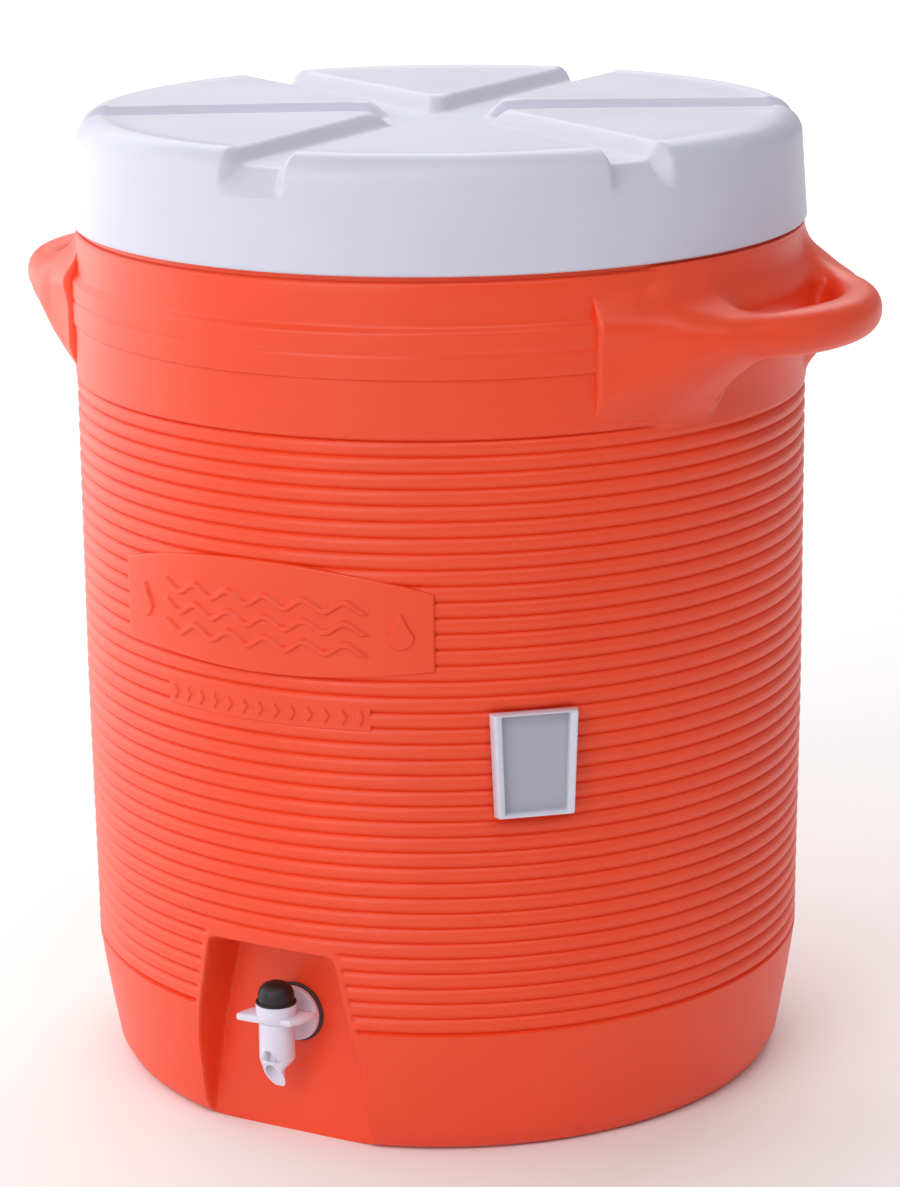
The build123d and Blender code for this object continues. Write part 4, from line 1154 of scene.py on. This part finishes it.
class DISPENSER_OT_finishes(bpy.types.Operator):
    """Makes the materials and gives every frame node the one of its slot"""

    bl_idname = "dispenser.finishes"
    bl_label = "Make Finishes"

    def execute(self, context):
        tones = context.scene.dispenser_colours
        plastics = {
            "shell_orange": (tones.shell, 0.40, 1.0, 0.6, 0.0, 1.0),
            "lid_white": (tones.lid, 0.42, 0.8, 0.4, 0.0, 1.0),
            "liner_white": (tones.liner, 0.35, 0.6, 0.3, 0.0, 1.0),
            "spigot_white": (tones.spigot, 0.24, 0.3, 0.2, 0.0, 1.0),
            # The last number, 0.60, darkens the bracket's sunk face as painted shade.
            "bracket_white": (tones.bracket, 0.26, 0.3, 0.2, 0.0, 0.60),
            "plug_grey": (tones.plug, 0.5, 1.0, 0.5, 0.3, 1.0),
        }
        for slot, settings in plastics.items():
            MATERIALS[slot] = moulded_plastic(slot, *settings)
        MATERIALS["rubber_black"] = rubber("rubber_black", tones.black_rubber)
        MATERIALS["rubber_grey"] = rubber("rubber_grey", tones.grey_rubber)
        MATERIALS["foam_cream"] = cut_foam("foam_cream", tones.foam)
        MATERIALS["spring_steel"] = drawn_steel("spring_steel", tones.steel)
        MATERIALS["floor"] = studio_floor("studio_floor", tones.floor)
        for part in frame["record"]["subparts"]:
            dress(frame["nodes"][part["node"]], part["material_slot"])
        return {"FINISHED"}


class DISPENSER_OT_shell(bpy.types.Operator):
    """Builds the ribbed shell, its neck and both handles"""

    bl_idname = "dispenser.shell"
    bl_label = "Build Shell"

    def execute(self, context):
        sizes = context.scene.dispenser_shell
        for piece in (lower_shell(sizes), upper_shell(sizes), neck_ring(sizes)):
            finish_piece(piece, "cooler", "shell_orange", "outer_shell")
        for name, turned in (("handle_right", False), ("handle_left", True)):
            finish_piece(handle(sizes, name, turned), "cooler", "shell_orange", "outer_shell")
        return {"FINISHED"}


class DISPENSER_OT_badge(bpy.types.Operator):
    """Builds the badge and the motif strip on the front"""

    bl_idname = "dispenser.badge"
    bl_label = "Build Badge"

    def execute(self, context):
        relief = context.scene.dispenser_shell.relief / MM
        badge = plaque("badge_panel", BADGE_HALF,
                       lambda s: 263.0 + 6.0 * (s / BADGE_HALF) ** 2,
                       lambda s: 323.0 - 13.0 * (s / BADGE_HALF) ** 2,
                       BADGE_FACE, 1.4, lambda s, z: relief * wave_motif(s, z), (400, 118))
        strip = plaque("motif_strip", STRIP_HALF, lambda s: 236.4 + 0.0 * s, lambda s: 251.0 + 0.0 * s,
                       STRIP_FACE, 0.8, lambda s, z: 0.8 * relief * diamond_row(s, z), (400, 52))
        for piece in (badge, strip):
            finish_piece(piece, "cooler", "shell_orange", "outer_shell")
        return {"FINISHED"}


class DISPENSER_OT_lid(bpy.types.Operator):
    """Builds the grooved cover of the lid"""

    bl_idname = "dispenser.lid"
    bl_label = "Build Lid"

    def execute(self, context):
        finish_piece(lid_cover(context.scene.dispenser_lid), "lid", "lid_white", "lid_shell")
        return {"FINISHED"}


class DISPENSER_OT_spigot(bpy.types.Operator):
    """Builds the spigot with its washer, collar, finger plate and button"""

    bl_idname = "dispenser.spigot"
    bl_label = "Build Spigot"

    def execute(self, context):
        finish_piece(spigot_pipe(), "cooler", "spigot_white", "spigot_body")
        finish_piece(spigot_barrel(), "cooler", "spigot_white", "spigot_body")
        finish_piece(finger_plate(), "cooler", "spigot_white", "spigot_bonnet")
        finish_piece(bonnet_collar(), "cooler", "spigot_white", "spigot_bonnet")
        finish_piece(button_dome(), "button", "rubber_black", "spigot_button")
        finish_piece(seal_lip(), "cooler", "rubber_black", "button_seal_ring")
        finish_piece(flange_washer(), "cooler", "rubber_grey", "outer_washer")
        return {"FINISHED"}


class DISPENSER_OT_bracket(bpy.types.Operator):
    """Builds the cup bracket"""

    bl_idname = "dispenser.bracket"
    bl_label = "Build Bracket"

    def execute(self, context):
        finish_piece(bracket_frame(), "cooler", "bracket_white", "cup_bracket")
        return {"FINISHED"}


def area_light(name, place, size, power, aim=(0.0, 0.0, 0.25)):
    """Square soft light at a place in metres, facing a point on the object."""
    data = bpy.data.lights.new(name, "AREA")
    data.shape = "RECTANGLE"
    data.size, data.size_y = size
    data.energy = power
    light = bpy.data.objects.new(name, data)
    light.location = place
    light.rotation_euler = (Vector(aim) - Vector(place)).to_track_quat("-Z", "Y").to_euler()
    bpy.context.scene.collection.objects.link(light)


def around(turn, distance, height):
    """Place at an angle in degrees from the camera's side, at a level distance and a height, in metres."""
    angle = bpy.context.scene.dispenser_studio.camera_turn + math.radians(turn)
    return (distance * math.sin(angle), -distance * math.cos(angle), height)


class DISPENSER_OT_stage(bpy.types.Operator):
    """Makes the floor, the lights, the surround and the camera"""

    bl_idname = "dispenser.stage"
    bl_label = "Make Stage"

    def execute(self, context):
        studio = context.scene.dispenser_studio
        floor = turned_profile("studio_floor", [200.0, 16000.0, 16000.0, 200.0],
                               [-12.0, -12.0, -0.05, -0.05], 96)
        dress(floor, "floor")
        area_light("key", around(-34.0, 2.5, 1.35), (1.7, 1.5), studio.key_power)
        area_light("wash", around(-114.0, 2.1, 0.9), (3.2, 2.4), studio.wash_power)
        area_light("front", around(4.0, 1.5, 2.2), (2.4, 0.5), studio.front_power)
        area_light("fill", around(75.0, 2.8, 1.4), (1.8, 2.2), studio.fill_power)
        area_light("floor", around(180.0, 5.0, 3.6), (6.0, 5.0), studio.floor_power, around(180.0, 5.0, 0.0))
        world = bpy.data.worlds.new("surround")
        world.use_nodes = True
        background = world.node_tree.nodes["Background"]
        background.inputs["Color"].default_value = (1.0, 1.0, 1.0, 1.0)
        background.inputs["Strength"].default_value = studio.sky
        context.scene.world = world
        context.scene.view_settings.view_transform = "Standard"
        context.scene.camera = studio_camera(studio)
        return {"FINISHED"}


def studio_camera(studio):
    """Camera placed by turn, level distance and height, and aimed by pitch, roll and yaw."""
    data = bpy.data.cameras.new("camera")
    data.lens = studio.lens
    data.sensor_width = 36.0
    data.clip_end = 100.0
    camera = bpy.data.objects.new("camera", data)
    place = Matrix.Translation((0.0, -studio.camera_distance, studio.camera_height))
    aim = Matrix.Rotation(-studio.camera_yaw, 4, "Z")
    aim = aim @ Matrix.Rotation(math.pi / 2 - studio.camera_pitch, 4, "X")
    aim = aim @ Matrix.Rotation(studio.camera_roll, 4, "Z")
    camera.matrix_world = Matrix.Rotation(studio.camera_turn, 4, "Z") @ place @ aim
    bpy.context.scene.collection.objects.link(camera)
    return camera


class DISPENSER_PT_panel(bpy.types.Panel):
    """Sizes, colours and one button for each step"""

    bl_idname = "DISPENSER_PT_panel"
    bl_label = "Water Dispenser"
    bl_space_type = "VIEW_3D"
    bl_region_type = "UI"
    bl_category = "Dispenser"

    def draw(self, context):
        for group in (context.scene.dispenser_shell, context.scene.dispenser_lid,
                      context.scene.dispenser_colours, context.scene.dispenser_studio):
            box = self.layout.box()
            for key in group.__annotations__:
                box.prop(group, key)
        for step in STEPS:
            self.layout.operator(step.bl_idname)


GROUPS = {
    "dispenser_shell": DispenserShellSizes,
    "dispenser_lid": DispenserLidSizes,
    "dispenser_colours": DispenserColours,
    "dispenser_studio": DispenserStudio,
}
STEPS = (DISPENSER_OT_finishes, DISPENSER_OT_stage, DISPENSER_OT_shell, DISPENSER_OT_badge,
         DISPENSER_OT_lid, DISPENSER_OT_spigot, DISPENSER_OT_bracket)
CLASSES = (*GROUPS.values(), *STEPS, DISPENSER_PT_panel)


def register():
    """Registers the classes and hangs each group on the scene."""
    for made in CLASSES:
        bpy.utils.register_class(made)
    for key, group in GROUPS.items():
        setattr(bpy.types.Scene, key, PointerProperty(type=group))


def unregister():
    """Takes the groups and the classes away again."""
    for key in GROUPS:
        delattr(bpy.types.Scene, key)
    for made in reversed(CLASSES):
        bpy.utils.unregister_class(made)


def main():
    """Builds everything in order."""
    register()
    bpy.ops.dispenser.finishes()
    bpy.ops.dispenser.stage()
    bpy.ops.dispenser.shell()
    bpy.ops.dispenser.badge()
    bpy.ops.dispenser.lid()
    bpy.ops.dispenser.spigot()
    bpy.ops.dispenser.bracket()


if __name__ == "__main__":
    main()
